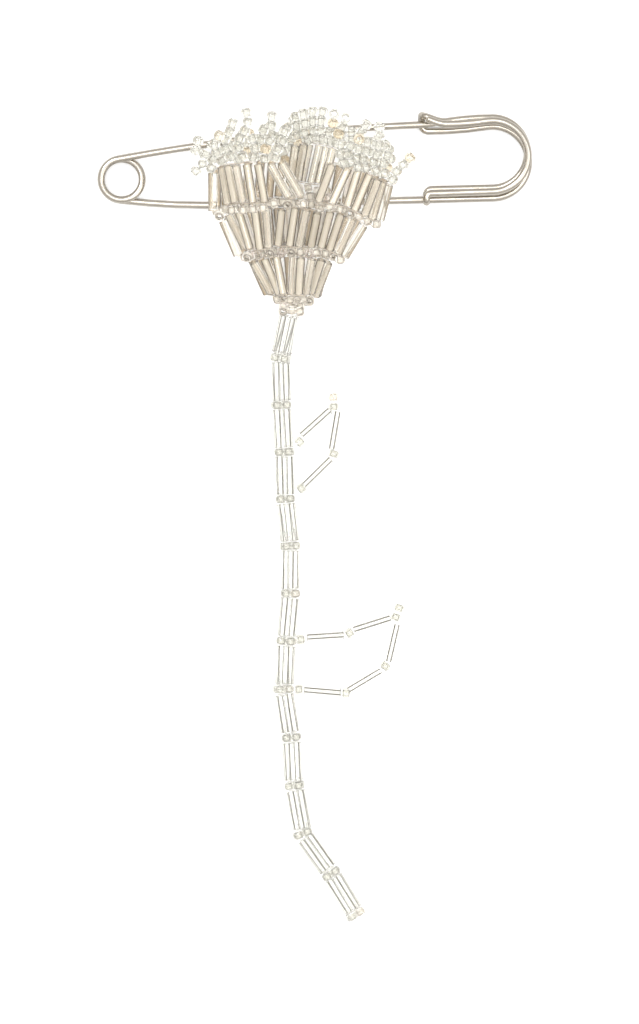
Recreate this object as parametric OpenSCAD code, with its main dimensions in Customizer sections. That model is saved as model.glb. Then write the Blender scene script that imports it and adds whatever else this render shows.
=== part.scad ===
// Beaded flower brooch: a sprung steel safety pin carries a bell flower woven from glass
// tube beads and seed beads, with a long stem of four-bead rounds and two outline leaves.
// It lies on its back on the plane z = 0. +X runs along the pin to its head, +Y from the
// stem's tip to the flower, and +Z towards the viewer. All sizes are in millimetres.

/* [Pin] */
// Diameter of the pin's wire
wire_d = 1.3; // [1.2:0.05:1.35]
// Radius of the spring coil, to the middle of the wire
coil_r = 3.7; // [3.5:0.05:3.9]
// Rise of the spring coil in one turn
coil_rise = 1.4; // [1.4:0.02:1.5]
// Length of the needle past the coil, with its point
needle_l = 61; // [58:0.5:62]
// Length of the needle's ground point
point_l = 6; // [4:0.5:9]
// Radius of the head's bow, to the middle of the wire
bow_r = 6.5; // [6.4:0.05:6.6]
// Radius of the hook that bends over the needle
hook_r = 1.5; // [1.5:0.02:1.6]

/* [Beads] */
// Length of a tube bead
bugle_l = 7; // [6.8:0.05:7]
// Diameter of a tube bead
bugle_d = 1.7; // [1.6:0.05:1.7]
// Diameter of a seed bead
seed_d = 1.85; // [1.75:0.05:1.9]
// Length of a seed bead along its hole
seed_l = 1.35; // [1.25:0.05:1.4]
// Diameter of the doubled thread in the beads' holes
thread_d = 0.3; // [0.2:0.05:0.4]
// Clearance between the end of a tube bead and its seed bead
bead_gap = 0.1; // [0.05:0.01:0.12]

/* [Stem] */
// Distance from the middle of a round to the middle of its four beads
round_r = 1.22; // [1.2:0.01:1.3]

/* [Hidden] */
$fn = 32;
wire_r = wire_d / 2;
bugle_r = bugle_d / 2;
seed_r = seed_d / 2;
thread_r = thread_d / 2;
clear_glass = [0.86, 0.88, 0.85];
champagne_glass = [0.84, 0.79, 0.69];
nickel_steel = [0.74, 0.7, 0.66];

// Length of wire in a bend of the given radius and angle
function bend_length(radius, angle) = radius * abs(angle) * PI / 180;

// Pin. The coil's middle, and the directions in which the two arms leave it.
coil_at = [-34.87, 60.16];
needle_heading = 10.5;
arm_heading = -7;
needle_bend = -8;
needle_drop = 0.6;
arm_z = wire_r;
needle_z = wire_r + 1.5 * coil_rise;
coil_gap = 0.04;
coil_tilt = asin(coil_rise / (4 * coil_r));

// The head's strands: the hook lifts the wire by two hook radii, the bow lowers it again
// by bow_fall, and the lower left loop lifts it once more by two loop radii.
bow_fall = 1.7;
bow_tilt = asin(bow_fall / (2 * bow_r));
loop_r = 0.75;
front_rise = 1.55;
front_tilt = asin(front_rise / (2 * bow_r));

// Columns of a wire's table: its length, its bend to the left in degrees, and the roll
// about the wire before it, which turns the plane of the bends.
LENGTH = 0;
BEND = 1;
ROLL = 2;
arm_route = [
    [15.5, 7.2, 0],
    [52.3, 2.4, 0],
    [bend_length(bow_r, 186.4), 186.4, 0],
    [10.6, -9, 0],
];
hook_route = [
    [bend_length(1.25, 90), -90, 0],
    [bend_length(hook_r, 90), 90, 90],
    [bend_length(hook_r, 90), 90, 70],
    [1, 0, 90],
    [bend_length(5, 29), 29, 0],
    [7.9, -9, 0],
];
bow_route = [
    [bend_length(bow_r - 0.15, 178.7), -178.7, bow_tilt],
    [11, 0, bow_tilt],
    [bend_length(1, 88.7), 88.7, 0],
    [0.6, 0, 0],
    [bend_length(loop_r, 180), 180, 90],
    [bend_length(loop_r, 88), -88, 90],
    [11.4, 0, 0],
];
front_route = [
    [bend_length(bow_r - 0.1, 187), 187, front_tilt],
    [7.2, -9, front_tilt],
    [bend_length(6, 20), -20, 0],
    [1.9, 0, 0],
];
frame_route = concat(arm_route, hook_route, bow_route, front_route);
// How the wire's curves are cut: degrees of bend in a step, and sides round the wire
wire_step = 10;
wire_sides = 16;

// Stem. Columns: the middle of the round, its turn about the stem, and the table's rows
// run from the flower to the stem's tip.
X = 0;
Y = 1;
Z = 2;
TURN = 3;
stem_rounds = [
    [-4.4, 36.3, 4.45, 45],
    [-6.05, 27.95, 2.98, 30],
    [-6.05, 19.4, 2.15, 52],
    [-5.45, 10.92, 2.02, 38],
    [-5.3, 2.45, 2.02, 45],
    [-4.5, -6.05, 2.02, 60],
    [-4.4, -14.6, 2.02, 48],
    [-5.1, -23.2, 2.02, 40],
    [-5.7, -31.9, 2.02, 58],
    [-4.2, -40.6, 2.02, 45],
    [-3.6, -49.3, 2.02, 35],
    [-2.2, -57.98, 2.02, 50],
    [3.0, -65.2, 2.02, 42],
    [7.3, -72.55, 2.02, 55],
];
ROUNDS = len(stem_rounds) - 1;

// Leaves. Columns of a tube bead's row: its middle, its heading from +X and its slope.
HEADING = 3;
SLOPE = 4;
upper_leaf = [
    [0.15, 16.25, 1.3, 42, -6],
    [3.6, 14.85, 0.95, -99.5, 0],
    [0.43, 7.28, 1.3, 224.5, 6],
];
lower_leaf = [
    [1.9, -22.3, 1.4, 3.5, -6],
    [10.35, -20.1, 0.95, 17.5, 0],
    [14.1, -23.6, 0.95, -103, 0],
    [9.0, -30.35, 0.95, 211, 0],
    [1.4, -32.3, 1.4, 175, 6],
];
// Seed beads at the leaves' corners. Columns: the middle of the first one, the heading in
// which the others follow, and how many there are. The row's place is its tube bead's.
COUNT = 4;
upper_corners = [
    [3.5, 19.65, 1, 100, 2],
    [3.45, 10.6, 0.95, 250, 1],
    [-2.45, 4.35, 1.65, 215, 1],
];
lower_corners = [
    [6.3, -21.6, 1, 30, 1],
    [14.65, -18.9, 0.95, 70, 2],
    [12.75, -27.75, 0.95, 235, 1],
    [5.66, -32.65, 1, 175, 1],
    [-2.85, -31.95, 1.85, 178, 1],
];

// Flower. Columns of a ring of bead ends: how far up it lies in front and behind, how much
// its sides drop, how much more its right side drops than its left, its middle and its half
// width along X, its middle and its half depth along Z, and the angle that evens out the
// spacing round its flattened outline.
FRONT_Y = 0;
BACK_Y = 1;
DROP = 2;
SKEW = 3;
MIDDLE_X = 4;
HALF_WIDTH = 5;
MIDDLE_Z = 6;
HALF_DEPTH = 7;
EASE = 8;
base_end = [39.4, 39.4, 0.2, 0.2, -3.9, 4.75, 5.1, 4.1, 1.5];
low_top = [45.6, 46.3, 0.6, 0.1, -4.3, 7.2, 6.2, 5.3, 4];
mid_end = [48.0, 48.15, 1.7, 0.1, -3.95, 9.3, 6.7, 5.5, 7];
mid_top = [53.9, 55.0, 2.1, 0.4, -3.85, 12.6, 8.9, 6.6, 9];
petal_end = [56.1, 56.8, 2.9, 0.6, -3.3, 15.1, 9.5, 6.7, 11];
petal_top = [62.2, 63.5, 2.4, 1.2, -2.5, 15.9, 11.55, 7.05, 11];
inner_end = [59.4, 59.4, 0.2, 0.3, -1.0, 3.0, 6.8, 3.7, 0];
inner_top = [66.0, 66.0, 0.3, 0.2, 0.6, 3.3, 9.4, 3.9, 0];

// Columns of a panel of tube beads side by side: their count, the turns round the lower
// ring of its first and last bead, and the same on the upper ring. Turn 0 is the right
// side, 90 the front and 270 the back.
BEADS = 0;
LOW_FROM = 1;
LOW_TO = 2;
TOP_FROM = 3;
TOP_TO = 4;
low_panels = [
    [3, 168, 120, 168, 120],
    [3, 96, 48, 96, 48],
    [3, 24, -24, 24, -24],
    [3, 312, 264, 312, 264],
    [3, 240, 192, 240, 192],
];
mid_panels = [
    [5, 185, 126, 181, 122],
    [4, 111, 65, 103, 62],
    [4, 50, 3, 49, 3],
    [3, 340, 302, 340, 302],
    [4, 284, 239, 284, 239],
    [3, 226, 200.5, 226, 199],
];
petals = [
    [6, 178, 122, 179, 128],
    [2, 98, 84, 118, 108],
    [7, 67, 1, 62, -1],
    [4, 345, 310, 345, 310],
    [5, 244, 194, 244, 194],
];
inner_petal = [6, 190, 350, 190, 350];

// Fringe. Columns of a petal's picots: the headings from +Y, to the left, of its first and
// last picot, and how much they lean towards the viewer.
FAN_FROM = 0;
FAN_TO = 1;
LEAN = 2;
fans = [
    [72, 14, 12],
    [12, -4, 12],
    [10, -90, 8],
    [-38, -12, 16],
    [10, 46, 16],
];
inner_fan = [16, -22, 10];
// Seed beads in the stalks of picots that follow each other, under their three-bead loops
stalks = [2, 1, 3, 1];
picot_pitch = 1.66;

// Vectors and mixing
function unit(v) = v / norm(v);
function mix(from, to, share) = from + (to - from) * share;
function share_of(i, count) = count > 1 ? i / (count - 1) : 0;
function heading_vector(heading, slope) =
    [cos(heading) * cos(slope), sin(heading) * cos(slope), sin(slope)];
function place(row) = [row[X], row[Y], row[Z]];

// A point on a ring of the flower at a turn round it
function ring_point(ring, turn) =
    let (angle = turn + ring[EASE] * sin(2 * turn))
    let (back = (1 - sin(angle)) / 2)
    [
        ring[MIDDLE_X] + ring[HALF_WIDTH] * cos(angle),
        mix(ring[FRONT_Y], ring[BACK_Y], back)
            - ring[DROP] * cos(angle) ^ 2 - ring[SKEW] * cos(angle),
        ring[MIDDLE_Z] + ring[HALF_DEPTH] * sin(angle)
    ];

// The lower and the upper ring point of bead i in a panel
function low_point(panel, ring, i) =
    ring_point(ring, mix(panel[LOW_FROM], panel[LOW_TO], share_of(i, panel[BEADS])));
function top_point(panel, ring, i) =
    ring_point(ring, mix(panel[TOP_FROM], panel[TOP_TO], share_of(i, panel[BEADS])));

// A tube bead of exact length lies midway between its two ring points
function bead_way(low, top) = unit(top - low);
function bead_start(low, top) = (low + top) / 2 - bead_way(low, top) * bugle_l / 2;
function bead_stop(low, top) = (low + top) / 2 + bead_way(low, top) * bugle_l / 2;

// Moves its children's +Z axis onto the way from one point to another
module along(from, way) {
    translate(from)
        rotate([0, acos(way[Z] / norm(way)), atan2(way[Y], way[X])])
            children();
}

module rod(from, to, radius) {
    along(from, to - from) cylinder(h = norm(to - from), r = radius);
}

module bugle(from, to) {
    rod(from, to, bugle_r);
}

// A seed bead: a ball cut flat at the two ends of its hole
module seed(at, way) {
    along(at, way) intersection() {
        sphere(r = seed_r);
        cube([seed_d, seed_d, seed_l], center = true);
    }
}

// A wire's frame: its place, its heading, its left, its up, and a side that doesn't roll
AT = 0;
AHEAD = 1;
LEFT = 2;
UP = 3;
SIDE = 4;
function wire_start(at, heading, slope) =
    let (ahead = heading_vector(heading, slope), left = [-sin(heading), cos(heading), 0])
    [at, ahead, left, cross(ahead, left), left];
function turned(v, axis, angle) =
    v * cos(angle) + cross(axis, v) * sin(angle) + axis * (axis * v) * (1 - cos(angle));
function rolled(frame, roll) =
    [
        frame[AT],
        frame[AHEAD],
        turned(frame[LEFT], frame[AHEAD], roll),
        turned(frame[UP], frame[AHEAD], roll),
        frame[SIDE]
    ];
function moved(frame, length, bend) =
    let (radius = bend == 0 ? 0 : length * 180 / (PI * bend))
    [
        frame[AT] + (bend == 0
            ? frame[AHEAD] * length
            : (frame[AHEAD] * sin(bend) + frame[LEFT] * (1 - cos(bend))) * radius),
        turned(frame[AHEAD], frame[UP], bend),
        turned(frame[LEFT], frame[UP], bend),
        frame[UP],
        turned(frame[SIDE], frame[UP], bend)
    ];

// The frames along a route, one at the end of each straight and one for each small step
// of a bend
function wire_frames(route, frame, row = 0) =
    row == len(route) ? [] :
    let (start = rolled(frame, route[row][ROLL]))
    let (steps = max(1, ceil(abs(route[row][BEND]) / wire_step)))
    let (leg = [
        for (k = [1 : steps])
            moved(start, route[row][LENGTH] * k / steps, route[row][BEND] * k / steps)
    ])
    concat(leg, wire_frames(route, leg[steps - 1], row + 1));

// Wire through a list of frames, with a radius for each
module wire(frames, radii) {
    rings = len(frames);
    points = [
        for (k = [0 : rings - 1])
            for (corner = [0 : wire_sides - 1])
                let (angle = corner * 360 / wire_sides)
                frames[k][AT] + radii[k] * (frames[k][SIDE] * cos(angle)
                    + cross(frames[k][AHEAD], frames[k][SIDE]) * sin(angle))
    ];
    function corner_at(ring, corner) = ring * wire_sides + corner % wire_sides;
    walls = [
        for (k = [0 : rings - 2])
            for (corner = [0 : wire_sides - 1])
                for (half = [0, 1])
                    half == 0
                        ? [corner_at(k, corner), corner_at(k + 1, corner),
                            corner_at(k + 1, corner + 1)]
                        : [corner_at(k, corner), corner_at(k + 1, corner + 1),
                            corner_at(k, corner + 1)]
    ];
    first_cap = [for (corner = [0 : wire_sides - 1]) corner];
    last_cap = [for (corner = [wire_sides - 1 : -1 : 0]) corner_at(rings - 1, corner)];
    polyhedron(points, concat(walls, [first_cap, last_cap]));
}

// Half a turn of the spring, tilted so that it climbs towards or away from +Y
module coil_bend(from, to, z, tilt) {
    translate([coil_at[X], coil_at[Y], z])
        rotate([tilt, 0, 0])
            rotate([0, 0, from])
                rotate_extrude(angle = to - from) translate([coil_r, 0]) circle(r = wire_r);
}

module pin_frame() {
    at = coil_at + coil_r * [sin(arm_heading), -cos(arm_heading)]
        + coil_gap * [cos(arm_heading), sin(arm_heading)];
    start = wire_start([at[X], at[Y], arm_z], arm_heading, 0);
    frames = concat([start], wire_frames(frame_route, start));
    color(nickel_steel) wire(frames, [for (frame = frames) wire_r]);
}

module pin_coil() {
    color(nickel_steel) {
        coil_bend(90 + needle_heading, 270, needle_z - coil_rise / 4, coil_tilt);
        coil_bend(-90, 90, needle_z - coil_rise * 3 / 4, -coil_tilt);
        coil_bend(90, 270 + arm_heading, needle_z - coil_rise * 5 / 4, coil_tilt);
    }
}

// The needle leaves the coil's upper end, falls a little and ends in its ground point
module pin_needle() {
    point_end_r = 0.12;
    at = coil_at + coil_r * [-sin(needle_heading), cos(needle_heading)]
        + coil_gap * [cos(needle_heading), sin(needle_heading)];
    start = wire_start([at[X], at[Y], needle_z], needle_heading, -needle_drop);
    shank = wire_frames([[needle_l - point_l, needle_bend, 0]], start);
    point = moved(shank[len(shank) - 1], point_l, 0);
    frames = concat([start], shank, [point]);
    color(nickel_steel) wire(frames, [for (frame = frames) frame == point ? point_end_r : wire_r]);
}

// A panel of tube beads, each with seed beads under it, on one thread along their feet
module panel(row, low_ring, top_ring, seeds = 1) {
    feet = [
        for (i = [0 : row[BEADS] - 1])
            let (low = low_point(row, low_ring, i), top = top_point(row, top_ring, i))
            bead_start(low, top) - bead_way(low, top) * (bead_gap + seed_l / 2)
    ];
    for (i = [0 : row[BEADS] - 1]) {
        low = low_point(row, low_ring, i);
        top = top_point(row, top_ring, i);
        bugle(bead_start(low, top), bead_stop(low, top));
        rod(feet[i], (low + top) / 2, thread_r);
        for (k = [0 : seeds - 1])
            seed(feet[i] - bead_way(low, top) * (bead_gap + seed_l) * k, bead_way(low, top));
        if (seeds > 1)
            rod(feet[i] - bead_way(low, top) * (bead_gap + seed_l) * (seeds - 1), feet[i], thread_r);
        if (i > 0) rod(feet[i - 1], feet[i], thread_r);
    }
}

// The lowest tube beads crowd at their feet, so their thread runs through the beads alone
module low_panel(row) {
    thread_height = 0.8;
    holds = [
        for (i = [0 : row[BEADS] - 1])
            let (low = low_point(row, base_end, i), top = top_point(row, low_top, i))
            bead_start(low, top) + bead_way(low, top) * thread_height
    ];
    for (i = [0 : row[BEADS] - 1]) {
        low = low_point(row, base_end, i);
        top = top_point(row, low_top, i);
        bugle(bead_start(low, top), bead_stop(low, top));
        if (i > 0) rod(holds[i - 1], holds[i], thread_r);
    }
}

// Two crowded rings of seed beads close the flower's foot
module flower_base() {
    upper_seeds = 10;
    lower_seeds = 6;
    upper_ring = [38.25, 38.25, 0.2, 0.2, -3.8, 2.95, 4.6, 2.95, 0];
    lower_ring = [37.1, 37.1, 0, 0, -4.2, 1.7, 4.7, 1.7, 0];
    for (i = [0 : upper_seeds - 1]) {
        at = ring_point(upper_ring, i * 360 / upper_seeds);
        next = ring_point(upper_ring, (i + 1) * 360 / upper_seeds);
        seed(at, next - at);
        rod(at, next, thread_r);
    }
    for (i = [0 : lower_seeds - 1]) {
        at = ring_point(lower_ring, (i + 0.5) * 360 / lower_seeds);
        next = ring_point(lower_ring, (i + 1.5) * 360 / lower_seeds);
        seed(at, next - at);
        rod(at, next, thread_r);
    }
    rod(ring_point(lower_ring, 90), ring_point(upper_ring, 90), thread_r);
}

// A picot: a stalk of seed beads that ends in a loop of three, edge on to its neighbours,
// all on one thread
module picot(foot, way, stalk) {
    loop_side = 0.6;
    loop_rise = 0.86;
    loop_top = 1.84;
    across = unit(cross(cross([0, 0, 1], way), way));
    crown = foot + way * picot_pitch * (stalk - 1);
    left = crown + (way * loop_rise - across * loop_side) * picot_pitch;
    top = crown + way * loop_top * picot_pitch;
    right = crown + (way * loop_rise + across * loop_side) * picot_pitch;
    for (k = [0 : stalk - 1]) seed(foot + way * picot_pitch * k, way);
    seed(left, way);
    seed(top, across);
    seed(right, way);
    rod(foot, top, thread_r);
    rod(left, right, thread_r);
}

// The picots of a petal stand on its tube beads' upper ends and fan out
module fringe(row, fan, low_ring, top_ring) {
    for (i = [0 : row[BEADS] - 1]) {
        low = low_point(row, low_ring, i);
        top = top_point(row, top_ring, i);
        heading = 90 + mix(fan[FAN_FROM], fan[FAN_TO], share_of(i, row[BEADS]));
        stalk = stalks[i % len(stalks)];
        foot = bead_stop(low, top) + bead_way(low, top) * (bead_gap + seed_r);
        picot(foot, heading_vector(heading, fan[LEAN] + (i % 2) * 14), stalk);
        if (i > 0) {
            low_before = low_point(row, low_ring, i - 1);
            top_before = top_point(row, top_ring, i - 1);
            rod(
                bead_stop(low_before, top_before)
                    + bead_way(low_before, top_before) * (bead_gap + seed_r),
                foot,
                thread_r
            );
        }
    }
}

// A round of the stem: four tube beads between two round middles and, round the lower
// middle, four seed beads that halve the bend to the next round
module stem_round(i) {
    above = stem_rounds[i - 1];
    below = stem_rounds[i];
    way = unit(place(above) - place(below));
    next_way = i < ROUNDS ? unit(place(below) - place(stem_rounds[i + 1])) : way;
    seed_way = unit(way + next_way);
    middle = (place(above) + place(below)) / 2;
    twist = (above[TURN] - below[TURN]) / 2;
    for (corner = [0 : 3]) {
        turn = below[TURN] + corner * 90;
        foot = middle - way * bugle_l / 2 + round_offset(way, turn);
        bead = place(below) + round_offset(seed_way, turn);
        bugle(foot, middle + way * bugle_l / 2 + round_offset(way, turn + twist));
        seed(bead, seed_way);
        rod(bead, place(below) + round_offset(seed_way, turn + 90), thread_r);
        rod(bead, foot + way, thread_r);
    }
}

// From a round's middle to one of its beads
function round_offset(way, turn) =
    let (across = unit(cross([0, 0, 1], way)))
    round_r * (across * cos(turn) + cross(way, across) * sin(turn));

// A leaf's tube bead with the seed beads of the corner that follows it
module leaf_bead(bead, corner) {
    way = heading_vector(bead[HEADING], bead[SLOPE]);
    tip = place(bead) + way * bugle_l / 2;
    next = heading_vector(corner[HEADING], 0);
    bugle(place(bead) - way * bugle_l / 2, tip);
    rod(place(bead), place(corner), thread_r);
    for (k = [0 : corner[COUNT] - 1]) {
        at = place(corner) + next * 1.3 * k;
        seed(at, next);
        if (k > 0) rod(place(corner), at, thread_r);
    }
}

module clear_beads() {
    color(clear_glass) children();
}

module champagne_beads() {
    color(champagne_glass) children();
}

pin_frame();
pin_coil();
pin_needle();
champagne_beads() flower_base();
for (i = [1 : len(low_panels)])
    champagne_beads() low_panel(low_panels[i - 1]);
for (i = [1 : len(mid_panels)])
    champagne_beads() panel(mid_panels[i - 1], mid_end, mid_top);
for (i = [1 : len(petals)])
    champagne_beads() panel(petals[i - 1], petal_end, petal_top);
champagne_beads() panel(inner_petal, inner_end, inner_top, 2);
for (i = [1 : len(petals)])
    clear_beads() fringe(petals[i - 1], fans[i - 1], petal_end, petal_top);
clear_beads() fringe(inner_petal, inner_fan, inner_end, inner_top);  // inner_fringe
for (i = [1 : ROUNDS])
    clear_beads() stem_round(i);
for (i = [1 : len(upper_leaf)])
    clear_beads() leaf_bead(upper_leaf[i - 1], upper_corners[i - 1]);
for (i = [1 : len(lower_leaf)])
    clear_beads() leaf_bead(lower_leaf[i - 1], lower_corners[i - 1]);
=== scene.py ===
"""Looks of a beaded flower brooch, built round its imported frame.

A sprung steel safety pin carries a bell flower woven from glass tube beads and seed beads,
with a long stem of four-bead rounds and two outline leaves. Tables are in millimetres in
the frame's own axes: +X runs along the pin to its head, +Y from the stem's tip to the
flower, and +Z to the viewer. Meshes are made in metres.
"""

import logging
import math
from collections.abc import Sequence
from dataclasses import dataclass, field, replace
from enum import Enum

import bpy
import numpy as np
from bpy.types import Material, Mesh, Node, NodeSocket, NodeTree, Object
from mathutils import Matrix, Quaternion, Vector


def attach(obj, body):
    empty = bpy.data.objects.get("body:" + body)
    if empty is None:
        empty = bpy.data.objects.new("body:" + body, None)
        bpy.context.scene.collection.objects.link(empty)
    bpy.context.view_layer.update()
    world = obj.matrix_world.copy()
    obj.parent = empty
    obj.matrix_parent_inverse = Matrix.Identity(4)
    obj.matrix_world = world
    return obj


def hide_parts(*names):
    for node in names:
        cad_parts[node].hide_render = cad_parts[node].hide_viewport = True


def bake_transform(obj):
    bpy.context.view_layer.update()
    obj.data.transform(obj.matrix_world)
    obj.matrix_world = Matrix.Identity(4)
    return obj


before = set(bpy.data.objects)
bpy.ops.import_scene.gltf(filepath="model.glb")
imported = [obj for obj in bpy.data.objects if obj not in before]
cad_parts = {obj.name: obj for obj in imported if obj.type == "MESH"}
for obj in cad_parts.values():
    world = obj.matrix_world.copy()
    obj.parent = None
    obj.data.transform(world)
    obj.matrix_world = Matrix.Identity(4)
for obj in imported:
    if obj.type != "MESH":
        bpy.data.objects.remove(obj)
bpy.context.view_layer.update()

Colour = tuple[float, float, float]
Place = tuple[float, float, float]
Inputs = dict[str | int, object]

MM = 0.001
UP = Vector((0.0, 0.0, 1.0))
LOG = logging.getLogger("brooch")


class BeadKind(Enum):
    """What a charted point carries."""

    TUBE = 0
    SEED = 1
    THREAD = 2


class Body(Enum):
    """The frame's bodies."""

    BROOCH = "brooch"
    NEEDLE = "needle"


class Slot(Enum):
    """The record's material slots."""

    STEEL = "pin_steel"
    CHAMPAGNE = "champagne_glass"
    CLEAR = "clear_glass"


# Small helpers


def mixed(start: float, stop: float, share: float) -> float:
    """Value at a share of the way from start to stop."""
    return start + (stop - start) * share


def heading_vector(heading: float, slope: float = 0.0) -> Vector:
    """Unit vector at a heading from +X and a slope above the surface, in degrees."""
    turn, rise = math.radians(heading), math.radians(slope)
    return Vector(
        (math.cos(turn) * math.cos(rise), math.sin(turn) * math.cos(rise), math.sin(rise))
    )


# Node trees


class TreeMaker:
    """Adds nodes and links to one node tree."""

    def __init__(self, tree: NodeTree) -> None:
        """Keeps the tree that is built."""
        self.tree = tree

    def feed(self, socket: NodeSocket, value: object) -> None:
        """Links a socket, or sets it to a plain value.

        Args:
            socket: The input that takes the value.
            value: A socket, a node that stands for its first output, or a plain value,
                with three numbers for a colour.
        """
        if isinstance(value, Node):
            value = value.outputs[0]
        if isinstance(value, NodeSocket):
            self.tree.links.new(value, socket)
        else:
            socket.default_value = (*value, 1.0) if socket.type == "RGBA" else value

    def add(self, kind: str, inputs: Inputs | None = None, **settings: object) -> Node:
        """Adds a node.

        Args:
            kind: The node's type name.
            inputs: What its inputs take, by name or number.
            settings: Values for its properties, set first.

        Returns:
            The new node.
        """
        node = self.tree.nodes.new(kind)
        for name, value in settings.items():
            setattr(node, name, value)
        for key, value in (inputs or {}).items():
            self.feed(node.inputs[key], value)
        return node

    def math(self, operation: str, *values: object) -> NodeSocket:
        """Result of a Math node on sockets or numbers."""
        inputs = dict(enumerate(values))
        return self.add("ShaderNodeMath", inputs, operation=operation).outputs[0]

    def ranged(
        self, value: object, low: float, high: float, to_low: float, to_high: float
    ) -> NodeSocket:
        """A value mapped from the range low to high to the range to_low to to_high."""
        inputs = dict(enumerate((value, low, high, to_low, to_high)))
        return self.add("ShaderNodeMapRange", inputs).outputs[0]

    def colour_mix(self, share: object, first: object, second: object) -> NodeSocket:
        """A mix of two colours, by the second one's share."""
        inputs = {0: share, 6: first, 7: second}
        return self.add("ShaderNodeMix", inputs, data_type="RGBA").outputs[2]

    def attribute(self, name: str, output: str = "Fac") -> NodeSocket:
        """A mesh attribute in a shader."""
        return self.add("ShaderNodeAttribute", attribute_name=name).outputs[output]

    def here(self) -> NodeSocket:
        """The Object coordinates of a shaded point."""
        return self.add("ShaderNodeTexCoord").outputs["Object"]

    def effect(self, group: NodeTree, **inputs: object) -> Node:
        """A shader group with its own values."""
        return self.add("ShaderNodeGroup", inputs, node_tree=group)

    def bump(self, strength: float, distance: float, height: object) -> Node:
        """A bump whose distance is in millimetres."""
        inputs = {"Strength": strength, "Distance": distance * MM, "Height": height}
        return self.add("ShaderNodeBump", inputs)

    def stored(self, kind: str, geometry: object, name: str, value: object) -> Node:
        """Geometry with a value stored at its points."""
        inputs = {"Geometry": geometry, "Name": name, "Value": value}
        return self.add(
            "GeometryNodeStoreNamedAttribute", inputs, data_type=kind, domain="POINT"
        )

    def named(self, kind: str, name: str) -> Node:
        """A stored value in a geometry tree."""
        return self.add("GeometryNodeInputNamedAttribute", {0: name}, data_type=kind)

    def circle(self, resolution: int, radius: object) -> Node:
        """A circle as a curve."""
        inputs = {"Resolution": resolution, "Radius": radius}
        return self.add("GeometryNodeCurvePrimitiveCircle", inputs, mode="RADIUS")

    def dressed(self, geometry: object, material: object) -> Node:
        """Geometry with a material."""
        inputs = {"Geometry": geometry, "Material": material}
        return self.add("GeometryNodeSetMaterial", inputs)


def group_tree(
    name: str, kind: str, inputs: Sequence[tuple], outputs: Sequence[tuple]
) -> tuple[TreeMaker, Node, Node]:
    """Starts a node group with its sockets.

    Args:
        name: The group's name.
        kind: The group's tree type.
        inputs: Rows of a name, a socket type and a default or None.
        outputs: Rows of a name and a socket type.

    Returns:
        The tree's maker, its input node and its output node.
    """
    tree = bpy.data.node_groups.new(name, kind)
    for label, socket_type, default in inputs:
        socket = tree.interface.new_socket(label, in_out="INPUT", socket_type=socket_type)
        if default is not None:
            socket.default_value = default
    for label, socket_type in outputs:
        tree.interface.new_socket(label, in_out="OUTPUT", socket_type=socket_type)
    maker = TreeMaker(tree)
    return maker, maker.add("NodeGroupInput"), maker.add("NodeGroupOutput")


def bake_tree(host: Object, tree: NodeTree, values: dict[str, object]) -> Object:
    """Runs a geometry tree on an object and keeps the result as its plain mesh.

    Args:
        host: The object whose mesh is the tree's input.
        tree: The geometry tree.
        values: The tree's inputs by name.

    Returns:
        The same object with the finished mesh and no modifier.
    """
    modifier = host.modifiers.new(tree.name, "NODES")
    modifier.node_group = tree
    for item in tree.interface.items_tree:
        if item.item_type == "SOCKET" and item.in_out == "INPUT" and item.name in values:
            modifier[item.identifier] = values[item.name]
    graph = bpy.context.evaluated_depsgraph_get()
    made = bpy.data.meshes.new_from_object(
        host.evaluated_get(graph), preserve_all_data_layers=True, depsgraph=graph
    )
    made.name = host.name
    host.modifiers.remove(modifier)
    rough, host.data = host.data, made
    bpy.data.meshes.remove(rough)
    return host


def new_host(
    name: str, points: Sequence[Vector], edges: Sequence[tuple[int, int]]
) -> Object:
    """An object whose mesh holds charted points and edges between their numbers."""
    mesh = bpy.data.meshes.new(name)
    mesh.from_pydata([point * MM for point in points], list(edges), [])
    host = bpy.data.objects.new(name, mesh)
    bpy.context.scene.collection.objects.link(host)
    return host


def store(mesh: Mesh, name: str, kind: str, values: Sequence) -> None:
    """Stores a number or a vector for each point of a mesh."""
    layer = mesh.attributes.new(name, kind, "POINT")
    if kind == "FLOAT_VECTOR":
        layer.data.foreach_set("vector", [part for value in values for part in value])
    else:
        layer.data.foreach_set("value", list(values))


# Shared effects


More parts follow.
